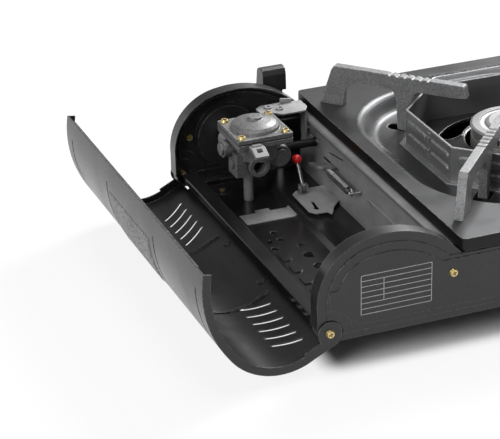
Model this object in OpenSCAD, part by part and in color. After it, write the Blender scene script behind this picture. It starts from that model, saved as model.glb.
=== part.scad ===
// Table-top stove fed by a lying gas cartridge: a sheet-metal case with the burner
// on the left, a cartridge bay with a valve unit on the right, and a curved bay lid.
// Everything is laid out about the burner axis (x = 0, y = 0) with the table at z = 0,
// and placed() then moves it so that the origin is under the middle of the whole.

/* [Case] */
// Depth of the case, from the front panel's face to the back panel's
case_d = 262; // [250:1:280]
// From the burner axis to the left wall
burner_left = 102; // [99:1:115]
// From the burner axis to the right edge of the top plate
burner_right = 105; // [103:0.5:107]
// From the burner axis to the outermost point of the cartridge bay
bay_reach = 201.5; // [200.5:0.5:204]
// Height of the underside of the case above the table
foot_h = 21; // [19:0.5:24]
// Height of the top plate's upper face above the table
plate_z = 74; // [73:0.5:76]
// Thickness of the case sheets
sheet_t = 1; // [0.8:0.1:1.2]
// Height of the top plate's skirt
skirt_h = 8; // [7:0.5:9]

/* [End panels] */
// Radius of the arch over the bay
crown_r = 66; // [65:0.5:68]
// Radius of the arch's outer shoulder
shoulder_r = 40; // [39:0.5:41]
// Height of the shoulder's centre
shoulder_z = 47.2; // [46:0.2:48]
// Direction in which the crown and the shoulder touch
crown_turn = 75.5; // [74:0.5:77]
// Width of the sunk rim round an end panel
rim_w = 6.3; // [6:0.1:7]
// Second step of the panel, measured from its edge
field_in = 12; // [11:0.5:13]
// Depth of the rim's step
rim_step = 0.8; // [0.6:0.1:1]
// Depth of the second step
field_step = 0.6; // [0.4:0.1:0.8]
// Width of the flange turned in round an end panel
flange_w = 10; // [8:0.5:11]

/* [Cartridge bay] */
// Radius of the gas cartridge
can_r = 33; // [32.5:0.1:33.5]
// Cartridge axis from the burner axis
can_x = 160; // [159:0.5:161]
// Width of the trough pressed in the floor
trough_w = 45; // [44:1:48]
// Depth of the trough
trough_drop = 3.5; // [3:0.5:4]
// Foot of the partition wall, from the top plate's right edge
wall_lean = 4; // [3:0.5:6]

/* [Lid] */
// Angle from closed to open
lid_open = 116.5; // [105:0.5:120]
// Running gap between the lid and the arch
lid_gap = 0.3; // [0.2:0.1:0.6]
// Outer radius of the lid over the crown
lid_crown_r = 78; // [76:0.5:82]
// Radius of the hinge ears
ear_r = 8; // [7.5:0.1:8.4]
// Radius of the hinge screws' shoulders
hinge_r = 2; // [1.8:0.1:2.4]
// Slots in each group of vents
vent_count = 5; // [4:1:5]

/* [Burner] */
// Radius of the burner cap
burner_r = 30.5; // [29.5:0.5:31]
// Height of the burner cap's rim
burner_z = 80; // [79:0.5:82]
// Flame ports round the burner head
port_count = 48; // [36:4:60]
// Width of the drip bowl
bowl_w = 189; // [186:1:192]
// Depth of the drip bowl, front to back
bowl_d = 208; // [202:1:212]
// Radius of the drip bowl's corners
bowl_r = 70; // [66:1:76]
// How far the bowl sinks below the plate
bowl_drop = 10; // [9:0.5:11]
// Width across the flats of the wind shield
shield_w = 130; // [126:1:134]
// Height of the wind shield
shield_h = 25.5; // [22:0.5:27]

/* [Pan supports] */
// Height of the supports' top edges above the table
rest_z = 103; // [100:0.5:106]
// Thickness of a cast support
arm_t = 6; // [5:0.5:7]
// Angle between a support and the width of the stove
arm_turn = 48; // [46:0.5:50]
// Reach of a support's foot from the burner axis
arm_reach = 143; // [141:0.5:144]
// Teeth along a support's top edge
tooth_count = 6; // [4:1:7]

/* [Valve unit] */
// Valve unit's middle, from the front panel's face
valve_in = 52; // [51:0.5:54]
// Width of the square diaphragm cover
cover_w = 39.5; // [38:0.5:40]
// Height of the cover's flat face
cover_z = 76; // [75:0.5:77]
// Distance of the cover's screws from its middle
cover_screw = 16; // [15:0.5:16.5]
// Radius of the bore that takes the cartridge's nozzle
inlet_r = 4.4; // [4.2:0.1:4.6]
// Radius of the control knob
knob_r = 20; // [18:0.5:21]
// Length of the control knob in front of the panel
knob_l = 28; // [24:1:30]

/* [Locking] */
// Travel of the locking lever
lock_travel = 16; // [12:1:18]
// Travel of the latch finger along the wall
latch_travel = 12; // [9:0.5:12]
// Coils of the latch spring
spring_turns = 22; // [16:1:24]
// Mean radius of the latch spring
spring_r = 2.6; // [2.4:0.1:2.8]
// Radius of the spring wire
wire_r = 0.5; // [0.4:0.05:0.5]

/* [Hidden] */
$fn = 64;
case_y = case_d / 2;
left_x = -burner_left;
right_x = burner_right;
base_z = foot_h;
floor_z = base_z + sheet_t;
can_z = base_z - trough_drop + sheet_t + can_r + 0.4;
shoulder_x = bay_reach - shoulder_r;
crown_x = shoulder_x - (crown_r - shoulder_r) * cos(crown_turn);
crown_z = shoulder_z - (crown_r - shoulder_r) * sin(crown_turn);
skirt_z = plate_z - skirt_h;
hinge_x = bay_reach - 7.9;
hinge_z = base_z + 7;
rim_y = case_y - rim_step - field_step;
step_y = case_y - field_step;
wall_x = right_x + wall_lean;
bowl_z = plate_z - bowl_drop;
valve_x = can_x - 2.5;
valve_y = -case_y + valve_in;
inlet_y = valve_y + 14;
lever_x = valve_x - 39;
shield_half = 34;
wall_run = 15;
arch_over = 0.15;
lid_shoulder_r = shoulder_r + lid_gap + sheet_t;
lid_crown_x = shoulder_x - (lid_crown_r - lid_shoulder_r) * cos(crown_turn);
lid_crown_z = shoulder_z - (lid_crown_r - lid_shoulder_r) * sin(crown_turn);
lid_half = case_y - 0.2;
lid_edge_x = right_x + 2;
lid_edge_turn = acos((lid_edge_x - lid_crown_x) / lid_crown_r);
open_x = (lid_crown_x - hinge_x) * cos(lid_open) + (lid_crown_z - hinge_z) * sin(lid_open);
reach_x = hinge_x + open_x + lid_crown_r;
origin_x = (reach_x + left_x) / 2;
origin_y = (1.6 - knob_l) / 2;
latch_y = valve_y + 17;
latch_z = can_z - 7.4;
spring_y = latch_y + 10;
spring_l = (2 * wire_r + 0.43) * spring_turns;
bracket_z = base_z + 3;
trip_y = valve_y + 11;
trip_x = valve_x - 30.5;
tube_z = bowl_z - 16;
tube_turn = -18;
jet_x = 84;
leg_x = shield_w / 2 + 13.4;
spark_x = -6;
spark_y = 41;
outlet_z = bowl_z - 14;
outlet_x = valve_x - 27;
pipe_y = valve_y - 14;
lead_z = bowl_z - 4;
lead_y = -case_y + 16;
panel_left = left_x + sheet_t + 1.7;
trough_z = base_z - trough_drop;
left_screw_x = left_x + 20;
back_screw_x = right_x + 6;
bay_screw_x = hinge_x - 6.5;
right_foot_x = can_x + 12;
left_foot_x = left_x + 24;
front_foot_y = -case_y + 24;
back_foot_y = case_y - 50;

// Moves the whole from the burner axis to the middle of its footprint
module placed() {
    translate([-origin_x, -origin_y, 0]) children();
}

// Turns a profile drawn in x and z into a slab from y0 to y1
module slab(y0, y1) {
    translate([0, y1, 0]) rotate([90, 0, 0]) linear_extrude(y1 - y0) children();
}

// A bar with rounded ends along x
module slot2d(length, width) {
    union() {
        translate([-(length - width) / 2, 0]) circle(width / 2);
        translate([(length - width) / 2, 0]) circle(width / 2);
        translate([-(length - width) / 2, -width / 2]) square([length - width, width]);
    }
}

// A rectangle with round corners, centred
module round_rect(w, d, r) {
    union() {
        square([w - 2 * r, d], center = true);
        square([w, d - 2 * r], center = true);
        for (sx = [-1, 1], sy = [-1, 1])
            translate([sx * (w / 2 - r), sy * (d / 2 - r)]) circle(r);
    }
}

// Runs a profile round a rectangle with round corners; the profile's x goes outwards
// from the corner's centre
module round_frame(w, d, r) {
    for (corner = [[1, 1, 0], [-1, 1, 90], [-1, -1, 180], [1, -1, 270]])
        translate([corner[0] * (w / 2 - r), corner[1] * (d / 2 - r), 0])
            rotate([0, 0, corner[2]]) rotate_extrude(angle = 90) children();
    for (side = [0, 180]) rotate([0, 0, side]) {
        translate([w / 2 - r, d / 2 - r, 0]) rotate([90, 0, 0])
            linear_extrude(d - 2 * r) children();
        rotate([0, 0, 90]) translate([d / 2 - r, w / 2 - r, 0]) rotate([90, 0, 0])
            linear_extrude(w - 2 * r) children();
    }
}

// Everything left of the line through the crown's and the shoulder's centres
module crown_side(cx, cz) {
    polygon([[cx, cz], [cx + 120 * cos(crown_turn), cz + 120 * sin(crown_turn)],
        [cx - 100, cz + 150], [cx - 100, cz]]);
}

// Outline of an end panel, drawn in by a distance
module panel_outline(inset) {
    top = inset > 0 ? skirt_z - 1.5 - (inset - rim_w) * 0.4 : plate_z - sheet_t;
    low = base_z + (inset > 0 ? inset * 0.75 : 0);
    edge = panel_left + (inset > 0 ? inset : 0);
    difference() {
        union() {
            intersection() {
                translate([crown_x, crown_z]) circle(crown_r - inset);
                crown_side(crown_x, crown_z);
                translate([right_x - sheet_t, low]) square([120, 100]);
            }
            intersection() {
                translate([shoulder_x, shoulder_z]) circle(shoulder_r + arch_over - inset);
                translate([right_x, low]) square([120, 100]);
            }
            translate([edge, low])
                square([right_x - sheet_t - 1.6 - edge + (inset > 0 ? 20 : 0), top - low]);
            translate([edge, low])
                square([shoulder_x - edge, min(top, skirt_z - 1.5) - low]);
            translate([shoulder_x - 10, low]) square([hinge_x - shoulder_x + 10, 26]);
            translate([shoulder_x, hinge_z + 2])
                square([shoulder_r - inset, shoulder_z - hinge_z - 2]);
            if (inset == 0) translate([hinge_x, hinge_z]) circle(hinge_z - base_z);
        }
        if (inset > 0) translate([hinge_x, hinge_z]) circle(ear_r + 1 + inset - rim_w);
        if (inset > 0) translate([hinge_x, -10]) square([30, hinge_z + 10]);
    }
}

// A pressed end panel with its face at y = case_y, its steps and its turned-in flange
module end_panel() {
    difference() {
        union() {
            slab(rim_y - flange_w, rim_y) panel_outline(0);
            slab(rim_y - 0.01, step_y) panel_outline(rim_w);
            slab(step_y - 0.01, case_y) panel_outline(field_in);
        }
        slab(rim_y - flange_w - 1, rim_y - sheet_t) intersection() {
            panel_outline(0);
            panel_flange_inside();
        }
        slab(rim_y - sheet_t - 1, step_y - sheet_t) panel_outline(rim_w + sheet_t);
        slab(step_y - sheet_t - 1, case_y - sheet_t) panel_outline(field_in + sheet_t);
    }
    // lip round the inside of the arch
    slab(rim_y - sheet_t - 3.4, rim_y - sheet_t + 0.2) intersection() {
        difference() {
            panel_outline(4.6);
            panel_outline(5.5);
        }
        translate([right_x + 9, can_z - 12]) square([120, 100]);
    }
}

// The space inside the turned-in flange
module panel_flange_inside() {
    difference() {
        union() {
            intersection() {
                translate([crown_x, crown_z]) circle(crown_r - sheet_t);
                crown_side(crown_x, crown_z);
            }
            translate([shoulder_x, shoulder_z]) circle(shoulder_r + arch_over - sheet_t);
            translate([panel_left + sheet_t, base_z])
                square([shoulder_x - panel_left - 4, plate_z - 2 * sheet_t - base_z]);
            translate([shoulder_x, base_z])
                square([shoulder_r - sheet_t, shoulder_z - base_z]);
        }
        translate([left_x, base_z - 1]) square([hinge_x - left_x, sheet_t + 1]);
        translate([hinge_x, hinge_z]) difference() {
            circle(hinge_z - base_z + 0.01);
            translate([-20, -0.5]) square([40, 20]);
            circle(hinge_z - base_z - sheet_t);
        }
        translate([right_x - sheet_t - 2.6, crown_z + 39]) square([sheet_t, 20]);
    }
}

module back_panel() {
    color("dimgray") difference() {
        end_panel();
        hinge_holes();
        for (x = [left_screw_x, back_screw_x]) at_panel(x)
            cylinder(r = 1.7, h = 30, center = true);
    }
}

module front_panel() {
    color("dimgray") difference() {
        union() {
            mirror([0, 1, 0]) end_panel();
            translate([can_x, -case_y, can_z]) rotate([-90, 0, 0])
                cylinder(r = knob_r + 2.5, h = 7);
        }
        translate([can_x, -case_y - 1, can_z]) rotate([-90, 0, 0])
            cylinder(r = knob_r + 1.5, h = 7);
        translate([can_x, -case_y - 1, can_z]) rotate([-90, 0, 0])
            cylinder(r = 4.4, h = 20);
        translate([lever_x - 2, -case_y - 5, latch_z - lock_travel - 1])
            cube([4, 20, lock_travel + 16]);
        hinge_holes();
        mirror([0, 1, 0]) for (x = [left_screw_x, bay_screw_x]) at_panel(x)
            cylinder(r = 1.7, h = 30, center = true);
    }
}

// Puts a screw, head outwards, on the back panel's face at a given x
module at_panel(x) {
    translate([x, case_y + 0.02, skirt_z - 13]) rotate([-90, 0, 0]) children();
}

module hinge_holes() {
    translate([hinge_x, 0, hinge_z]) rotate([90, 0, 0])
        cylinder(r = hinge_r + 0.05, h = case_d + 20, center = true);
}

// Cross-section of the base: left edge, floor, trough, floor, and a rail curled over
// towards the hinge line
module base_profile() {
    half = trough_w / 2;
    slope = 3;
    t = sheet_t;
    left = panel_left + 0.2;
    right = hinge_x - 6.6;
    top = hinge_z + 1.6;
    polygon([[left, base_z], [left, base_z + 8], [left + t, base_z + 8],
        [left + t, floor_z], [can_x - half + 0.4, floor_z],
        [can_x - half + slope + 0.4, floor_z - trough_drop],
        [can_x + half - slope - 0.4, floor_z - trough_drop], [can_x + half - 0.4, floor_z],
        [right - 3, floor_z], [right - t, floor_z + 1.6], [right - t, top],
        [right, top + t], [right + 9.4, top + t], [right + 10, top + t - 0.6],
        [right + 10, hinge_z - 2], [right + 9, hinge_z - 2], [right + 9, top],
        [right, top], [right, base_z + 2.6], [right - 2.6, base_z],
        [can_x + half, base_z], [can_x + half - slope, trough_z],
        [can_x - half + slope, trough_z], [can_x - half, base_z]]);
}

module base_pan() {
    half_d = rim_y - flange_w - 0.3;
    half = trough_w / 2;
    color("#202022") difference() {
        union() {
            slab(-half_d, half_d) base_profile();
            // ends of the trough
            for (y = [-half_d, half_d - sheet_t]) slab(y, y + sheet_t)
                polygon([[can_x - half, floor_z], [can_x + half, floor_z],
                    [can_x + half - 3, trough_z], [can_x - half + 3, trough_z]]);
            // raised rings round the foot screws in the trough
            for (y = [front_foot_y, back_foot_y])
                translate([right_foot_x, y, trough_z + sheet_t - 0.1]) cylinder(r = 6.5, h = 0.7);
            // pressed scoops along the trough, and two small stops
            for (i = [0:3]) translate([can_x + 12.5, 7.6 + 17.8 * i, trough_z + sheet_t - 0.1])
                scoop(5.2, 0.9);
            for (p = [[12.7, -17.2, 2], [-5.2, -15.8, 0.7]])
                translate([can_x + p[0] - 1.4, p[1] - 0.5, trough_z + sheet_t - 0.1])
                    cube([2.8, 1, p[2]]);
        }
        floor_holes();
        for (x = [left_foot_x, right_foot_x], y = [front_foot_y, back_foot_y])
            translate([x, y, base_z - 20]) cylinder(r = 2.2, h = 40);
    }
}

// A D-shaped pad, flat towards the case's middle
module scoop(r, h) {
    intersection() {
        cylinder(r = r, h = h);
        translate([-r, -r, 0]) cube([1.5 * r, 2 * r, h]);
    }
}

// Vents and locating holes pressed through the bay's floor
module floor_holes() {
    for (p = [[4.2, -30], [4.1, -19.3], [12.7, -7.3], [-5.1, -6]])
        translate([can_x + p[0], p[1], base_z - 10]) cylinder(r = 2.7, h = 20);
    for (i = [0:2]) translate([can_x - 5, 9.2 + 18 * i, base_z - 10])
        mirror([1, 0, 0]) scoop(4.5, 20);
    // air vents under the burner
    for (i = [-4:4])
        translate([i * 14, 0, base_z - 10]) linear_extrude(20)
            rotate(90) slot2d(50 - abs(i) * 4, 5);
}

// Height of the face that a foot is screwed to
function foot_top(x) = x > right_x ? trough_z : base_z;

module side_panel() {
    half = rim_y - 3;
    color("dimgray") translate([left_x + sheet_t + 0.2, -half, base_z + 0.3])
        cube([sheet_t - 0.2, 2 * half, plate_z - sheet_t - base_z - 0.5]);
}

// x of the partition wall's bay side at a height below the ridge
function wall_face(z) = right_x + 1.4
    + (skirt_z - 8 - z) / (skirt_z - 9 - floor_z) * (wall_lean - 1.4);

// Leaning wall between burner and bay, with a ridge under the plate's skirt
module partition_wall() {
    half = case_y - flange_w - 3.4;
    top = plate_z - sheet_t - 0.1;
    t = sheet_t;
    color("gray") difference() {
        union() {
            slab(-half, half) polygon([
                [right_x - 8, top], [right_x - 1.2, top], [right_x - 1.2, skirt_z - 0.6],
                [right_x + 2.6, skirt_z - 2], [right_x + 3.4, skirt_z - 3.6],
                [right_x + 2.8, skirt_z - 5.4], [right_x + 1.4, skirt_z - 8],
                [wall_x, floor_z + 1], [wall_x, floor_z + 0.02],
                [wall_x - t, floor_z + 0.02], [wall_x - t, floor_z + 1],
                [right_x + 0.4, skirt_z - 8], [right_x + 1.9, skirt_z - 5.4],
                [right_x + 2.3, skirt_z - 4], [right_x + 1.8, skirt_z - 3],
                [right_x - 1.2 - t, skirt_z - 1.6], [right_x - 1.2 - t, top - t],
                [right_x - 8, top - t]]);
            // bracket plate bent out over the floor
            translate([0, 0, bracket_z]) linear_extrude(t) difference() {
                translate([trip_x, trip_y]) polygon([[wall_x - 0.5 - trip_x, -6],
                    [-3, -6], [4, -4.5], [7.5, -1], [8, 29], [4.5, 33.5], [-3.5, 34],
                    [-5, 38.5], [-7.5, 35], [-10, 29.5], [-16, 22.5],
                    [wall_x - 0.5 - trip_x, 21]]);
                translate([trip_x + 0.5, trip_y + 22]) rotate(84) slot2d(14, 2.2);
                translate([trip_x + 1.2, trip_y + 26]) circle(2);
                translate([trip_x, trip_y]) circle(1.6);
            }
            // short stiffening ribs
            translate([wall_face(44) - 0.5, latch_y + 58, 43.2]) cube([1.5, 58, 1.6]);
            translate([wall_face(52) - 0.5, -half + 6, 51.2]) cube([1.5, 26, 1.6]);
        }
        // slit that the latch finger runs in
        translate([wall_x - 8, latch_y - latch_travel - 4, latch_z - 1.15])
            cube([16, latch_travel + 14, 2.3]);
        translate([wall_x - 8, latch_y - 8, latch_z + 6]) rotate([8, 0, 0])
            cube([16, 24, 1.2]);
        translate([wall_x - 8, 0, latch_z - 2]) rotate([0, 90, 0]) cylinder(r = 2, h = 16);
        translate([wall_x - 8, pipe_y, outlet_z]) rotate([0, 90, 0])
            cylinder(r = 3.4, h = 16);
        translate([wall_x - 8, lead_y, lead_z]) rotate([0, 90, 0])
            cylinder(r = 1.8, h = 16);
    }
}

module cartridge_rest() {
    color("gray") translate([can_x, -55, trough_z + sheet_t + 0.02]) union() {
        translate([-19, -7, 0]) cube([36, 15, sheet_t]);
        slab(-7, 8) polygon([[-19, 0], [-20, 1.4], [-19, 2.4], [-18, 1]]);
        translate([-6, -11, 0]) cube([10, 5, sheet_t]);
    }
}

module top_plate() {
    w = right_x - left_x;
    mid = (right_x + left_x) / 2;
    color("#6b6d70") difference() {
        union() {
            translate([mid, 0, plate_z - sheet_t]) linear_extrude(sheet_t) difference() {
                round_rect(w, case_d, 4);
                translate([-mid, 0]) round_rect(bowl_w, bowl_d, bowl_r);
            }
            translate([mid, 0, skirt_z]) linear_extrude(skirt_h - 0.5) difference() {
                round_rect(w, case_d, 4);
                round_rect(w - 2 * sheet_t, case_d - 2 * sheet_t, 4 - sheet_t);
            }
            bowl();
            bowl_boss();
            // stiffening bead between the bowl and the front edge
            translate([-26, 15.5 - case_y, plate_z - 0.1]) linear_extrude(0.8) slot2d(76, 4);
            translate([-26, 15.5 - case_y, plate_z]) linear_extrude(1) slot2d(74, 2.4);
        }
        bowl_windows();
        for (q = [0:3]) arm_place(q) translate([leg_x + 4.1, 0, bowl_z - 5])
            linear_extrude(10) slot2d(21, 11);
    }
}

// Sunk bowl with a sloped, rounded wall; its middle is open for the burner
module bowl() {
    t = sheet_t;
    round_frame(bowl_w + 1, bowl_d + 1, bowl_r + 0.5) polygon(concat(
        [for (k = [0:10]) [bowl_r + 0.5 - wall_run * k / 10, wall_height(k / 10)]],
        [for (k = [0:10]) [bowl_r + 0.5 - wall_run * (1 - k / 10), wall_height(1 - k / 10) - t]]));
    translate([0, 0, bowl_z - t]) linear_extrude(t) difference() {
        round_rect(bowl_w + 1.4 - 2 * wall_run, bowl_d + 1.4 - 2 * wall_run,
            bowl_r + 0.7 - wall_run);
        circle(57);
    }
}

// Height of the bowl's soft wall, from its rim at 0 to its foot at 1
function wall_height(u) = bowl_z + bowl_drop * (1 + cos(180 * u)) / 2;

// Cone that rises from the bowl's floor to the burner
module bowl_boss() {
    t = sheet_t;
    rotate_extrude($fn = 96) polygon([
        [57.5, bowl_z], [55, bowl_z + 0.5], [52.5, bowl_z + 1.6], [36, bowl_z + 6],
        [34.6, bowl_z + 6.4], [33.6, bowl_z + 6], [33.6, bowl_z + 5], [36, bowl_z + 4.8],
        [52, bowl_z + 0.6], [54.6, bowl_z - 0.6], [57.5, bowl_z - t]]);
    // lip round each window
    intersection() {
        rotate_extrude($fn = 96) polygon([[34.8, bowl_z + 5.6], [34.8, bowl_z + 7.4],
            [53.8, bowl_z + 2.5], [55.2, bowl_z + 1.4], [55.2, bowl_z + 0.1]]);
        translate([0, 0, bowl_z - 4]) linear_extrude(14) difference() {
            window_outline(1.1);
            window_outline(0);
        }
    }
}

// Two windows bent round the burner, with round ends
module window_outline(grow) {
    mid = 44.3;
    w = 8 + grow;
    for (turn = [-74, 106]) rotate(turn) {
        intersection() {
            difference() {
                circle(mid + w);
                circle(mid - w);
            }
            polygon([[0, 0], [90, -65.4], [90, 65.4]]);
        }
        for (end = [-36, 36]) rotate(end) translate([mid, 0]) circle(w + 0.15);
    }
}

module bowl_windows() {
    translate([0, 0, bowl_z - 4]) linear_extrude(14) window_outline(0);
}

// Outline of the wind shield: a square with its corners cut, grown by a distance
module shield_outline(grow) {
    a = shield_w / 2 + grow;
    b = shield_half + grow * 0.42;
    polygon([[a, b], [b, a], [-b, a], [-a, b], [-a, -b], [-b, -a], [b, -a], [a, -b]]);
}

// A pressed rib with round ends on a wind shield face
module shield_rib(length) {
    rotate([90, 0, 90]) union() {
        linear_extrude(0.6) slot2d(length, 5);
        linear_extrude(1.1) slot2d(length - 1.6, 3.4);
    }
}

// Eight-sided ring with two rows of pressed ribs and an outward foot
module wind_shield() {
    t = 0.9;
    apo = shield_w / 2;
    cut = (apo + shield_half) / sqrt(2);
    z = bowl_z + 0.05;
    color("#57595c") union() {
        translate([0, 0, z]) linear_extrude(shield_h) difference() {
            shield_outline(0);
            shield_outline(-t);
        }
        translate([0, 0, z]) linear_extrude(t) difference() {
            shield_outline(4);
            shield_outline(-0.4);
        }
        translate([0, 0, z + shield_h - 1.4]) linear_extrude(1.4) difference() {
            shield_outline(0.6);
            shield_outline(-0.4);
        }
        for (face = [0:3], row = [0, 1]) rotate([0, 0, face * 90]) {
            for (half = [-1, 1]) translate([apo - 0.1, half * 16.8, z + 8 + row * 9])
                shield_rib(27);
            rotate([0, 0, 45]) translate([cut - 0.1, 0, z + 8 + row * 9]) shield_rib(34);
        }
        // strip and tabs that close the joint in the middle of the right face
        translate([apo - 0.1, -1.2, z + 1]) cube([0.7, 3.4, shield_h - 4]);
        for (h = [7, 16]) translate([apo, -2, z + h]) cube([1.5, 4.6, 3.6]);
    }
}

// Turns a piece drawn along x onto one of the four support places
module arm_place(q) {
    turn = [-arm_turn, arm_turn, 180 - arm_turn, 180 + arm_turn][q];
    rotate([0, 0, turn]) children();
}

// One cast support: foot on the plate, teeth on top, a leg down into the bowl
module pan_support(q) {
    f = arm_reach;
    g = leg_x;
    z0 = plate_z + 0.03;
    under = rest_z - 9.6;
    tooth = 5.7;
    color("#77797c") arm_place(q) slab(-arm_t / 2, arm_t / 2) difference() {
        polygon([[f, z0], [f - 17, z0], [f - 18.3, under - 8.4], [f - 20.5, under - 5],
            [f - 24, under - 1.2], [f - 28.5, under], [g + 12.6, under - 0.6],
            [g + 9.6, under - 2.8], [g + 7.4, under - 9], [g + 6.2, bowl_z - 0.6],
            [g, bowl_z - 0.6], [g - 0.2, under - 14.4], [g - 5.4, under - 2.6],
            [g - 8.1, under], [g - 33.9, under], [g - 43.6, under + 1],
            [g - 42, rest_z - 0.9], [g - 41, rest_z], [f - 10.3, rest_z],
            [f - 8.2, rest_z - 3]]);
        for (i = [0:tooth_count - 1]) translate([g + 12.6 - i * tooth, rest_z + 0.5])
            circle(1.5, $fn = 24);
    }
}

module pan_support_1() { pan_support(0); }
module pan_support_2() { pan_support(1); }
module pan_support_3() { pan_support(2); }
module pan_support_4() { pan_support(3); }

// Cast burner body: cup under the head and the tube that brings the gas
module mixing_tube() {
    cup_z = tube_z - 10;
    rise = bowl_z + 8.6 - cup_z - 22;
    color("silver") difference() {
        union() {
            translate([0, 0, cup_z]) cylinder(r1 = 20, r2 = 30, h = 22);
            translate([0, 0, cup_z + 22]) cylinder(r = 30, h = rise);
            rotate([0, 0, tube_turn]) translate([0, 0, tube_z]) rotate([0, 90, 0])
                cylinder(r = 9.5, h = 66);
            rotate([0, 0, tube_turn]) translate([66, 0, tube_z]) rotate([0, 90, 0])
                cylinder(r1 = 9.5, r2 = 12.5, h = 20);
        }
        translate([0, 0, cup_z + 2]) cylinder(r1 = 17.5, r2 = 27, h = 20.01);
        translate([0, 0, cup_z + 22]) cylinder(r = 27, h = rise + 1);
        rotate([0, 0, tube_turn]) translate([14, 0, tube_z]) rotate([0, 90, 0])
            cylinder(r = 7.5, h = 60);
        rotate([0, 0, tube_turn]) translate([66, 0, tube_z]) rotate([0, 90, 0])
            cylinder(r1 = 7.5, r2 = 11, h = 20.1);
    }
}

// Ring with the flame ports
module burner_head() {
    z = bowl_z + 8.7;
    color("silver") difference() {
        union() {
            translate([0, 0, z]) cylinder(r = 30, h = 1.6);
            translate([0, 0, z]) cylinder(r = 27, h = burner_z - z - 0.3);
        }
        translate([0, 0, z - 1]) cylinder(r = 23.5, h = 20);
        for (i = [0:port_count - 1]) rotate([0, 0, i * 360 / port_count])
            translate([25.4, 0, z + 4.2]) cube([8, 1.5, 4.2], center = true);
    }
}

module burner_cap() {
    color("gainsboro") translate([0, 0, burner_z - 0.2]) rotate_extrude($fn = 96) polygon([
        [0, -2], [23, -2], [23, 0.1], [burner_r - 1.2, 0.1], [burner_r, 0.8],
        [burner_r, 1.6], [burner_r - 1.4, 2.6], [24.4, 3.2], [23.6, 2.4], [21, 2.2],
        [20, 3.4], [18, 4.2], [0, 4.8]]);
}

// Threaded jet at the mouth of the mixing tube
module gas_jet() {
    color("goldenrod") rotate([0, 0, tube_turn]) translate([jet_x, 0, tube_z])
        rotate([0, 90, 0]) difference() {
            union() {
                cylinder(r = 4, h = 10);
                translate([0, 0, 4]) cylinder(r = 5.6, h = 4, $fn = 6);
            }
            translate([0, 0, -1]) cylinder(r = 0.8, h = 13);
        }
}

// Pipe from the valve unit through the wall to the jet
module gas_pipe() {
    r = 2.8;
    start = jet_x + 10.1;
    bend_x = (start + 0.3) * cos(tube_turn) + 3;
    bend_y = (start + 0.3) * sin(tube_turn) - 1;
    color("silver") union() {
        rotate([0, 0, tube_turn]) translate([start, 0, tube_z]) rotate([0, 90, 0])
            cylinder(r = r, h = 3);
        translate([bend_x, bend_y, tube_z]) sphere(r + 0.1);
        translate([bend_x, bend_y, tube_z]) rotate([90, 0, 0])
            cylinder(r = r, h = bend_y - pipe_y);
        translate([bend_x, pipe_y, tube_z]) sphere(r + 0.1);
        translate([bend_x, pipe_y, tube_z]) cylinder(r = r, h = outlet_z - tube_z);
        translate([bend_x, pipe_y, outlet_z]) sphere(r + 0.1);
        translate([bend_x, pipe_y, outlet_z]) rotate([0, 90, 0])
            cylinder(r = r, h = outlet_x - 0.02 - bend_x);
    }
}

// Ceramic rod with the spark wire, beside the burner head
module electrode() {
    color("white") translate([spark_x, spark_y, lead_z + 2]) union() {
        cylinder(r = 2.2, h = 12);
        translate([0, 0, 12]) cylinder(r = 0.8, h = 4);
        translate([0, 0, 15.6]) rotate([60, 0, 0]) cylinder(r = 0.8, h = 5);
    }
}

// Insulated wire from the spark generator, under the bowl, to the electrode
module electrode_lead() {
    turn_x = -58;
    color("#303030") union() {
        translate([spark_x, spark_y, lead_z]) cylinder(r = 1.2, h = 1.9);
        translate([spark_x, spark_y, lead_z]) sphere(1.4);
        translate([spark_x, spark_y, lead_z]) rotate([0, -90, 0])
            cylinder(r = 1.2, h = spark_x - turn_x);
        translate([turn_x, spark_y, lead_z]) sphere(1.4);
        translate([turn_x, spark_y, lead_z]) rotate([90, 0, 0])
            cylinder(r = 1.2, h = spark_y - lead_y);
        translate([turn_x, lead_y, lead_z]) sphere(1.4);
        translate([turn_x, lead_y, lead_z]) rotate([0, 90, 0])
            cylinder(r = 1.2, h = can_x - 6.2 - turn_x);
    }
}

// Spark generator on the spindle, between the knob and the valve
module piezo_igniter() {
    color("#d8d4c8") translate([can_x, -case_y + 10, can_z]) rotate([-90, 0, 0])
        difference() {
            cylinder(r = 9, h = 16);
            translate([0, 0, -1]) cylinder(r = 3.3, h = 20);
        }
}

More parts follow.
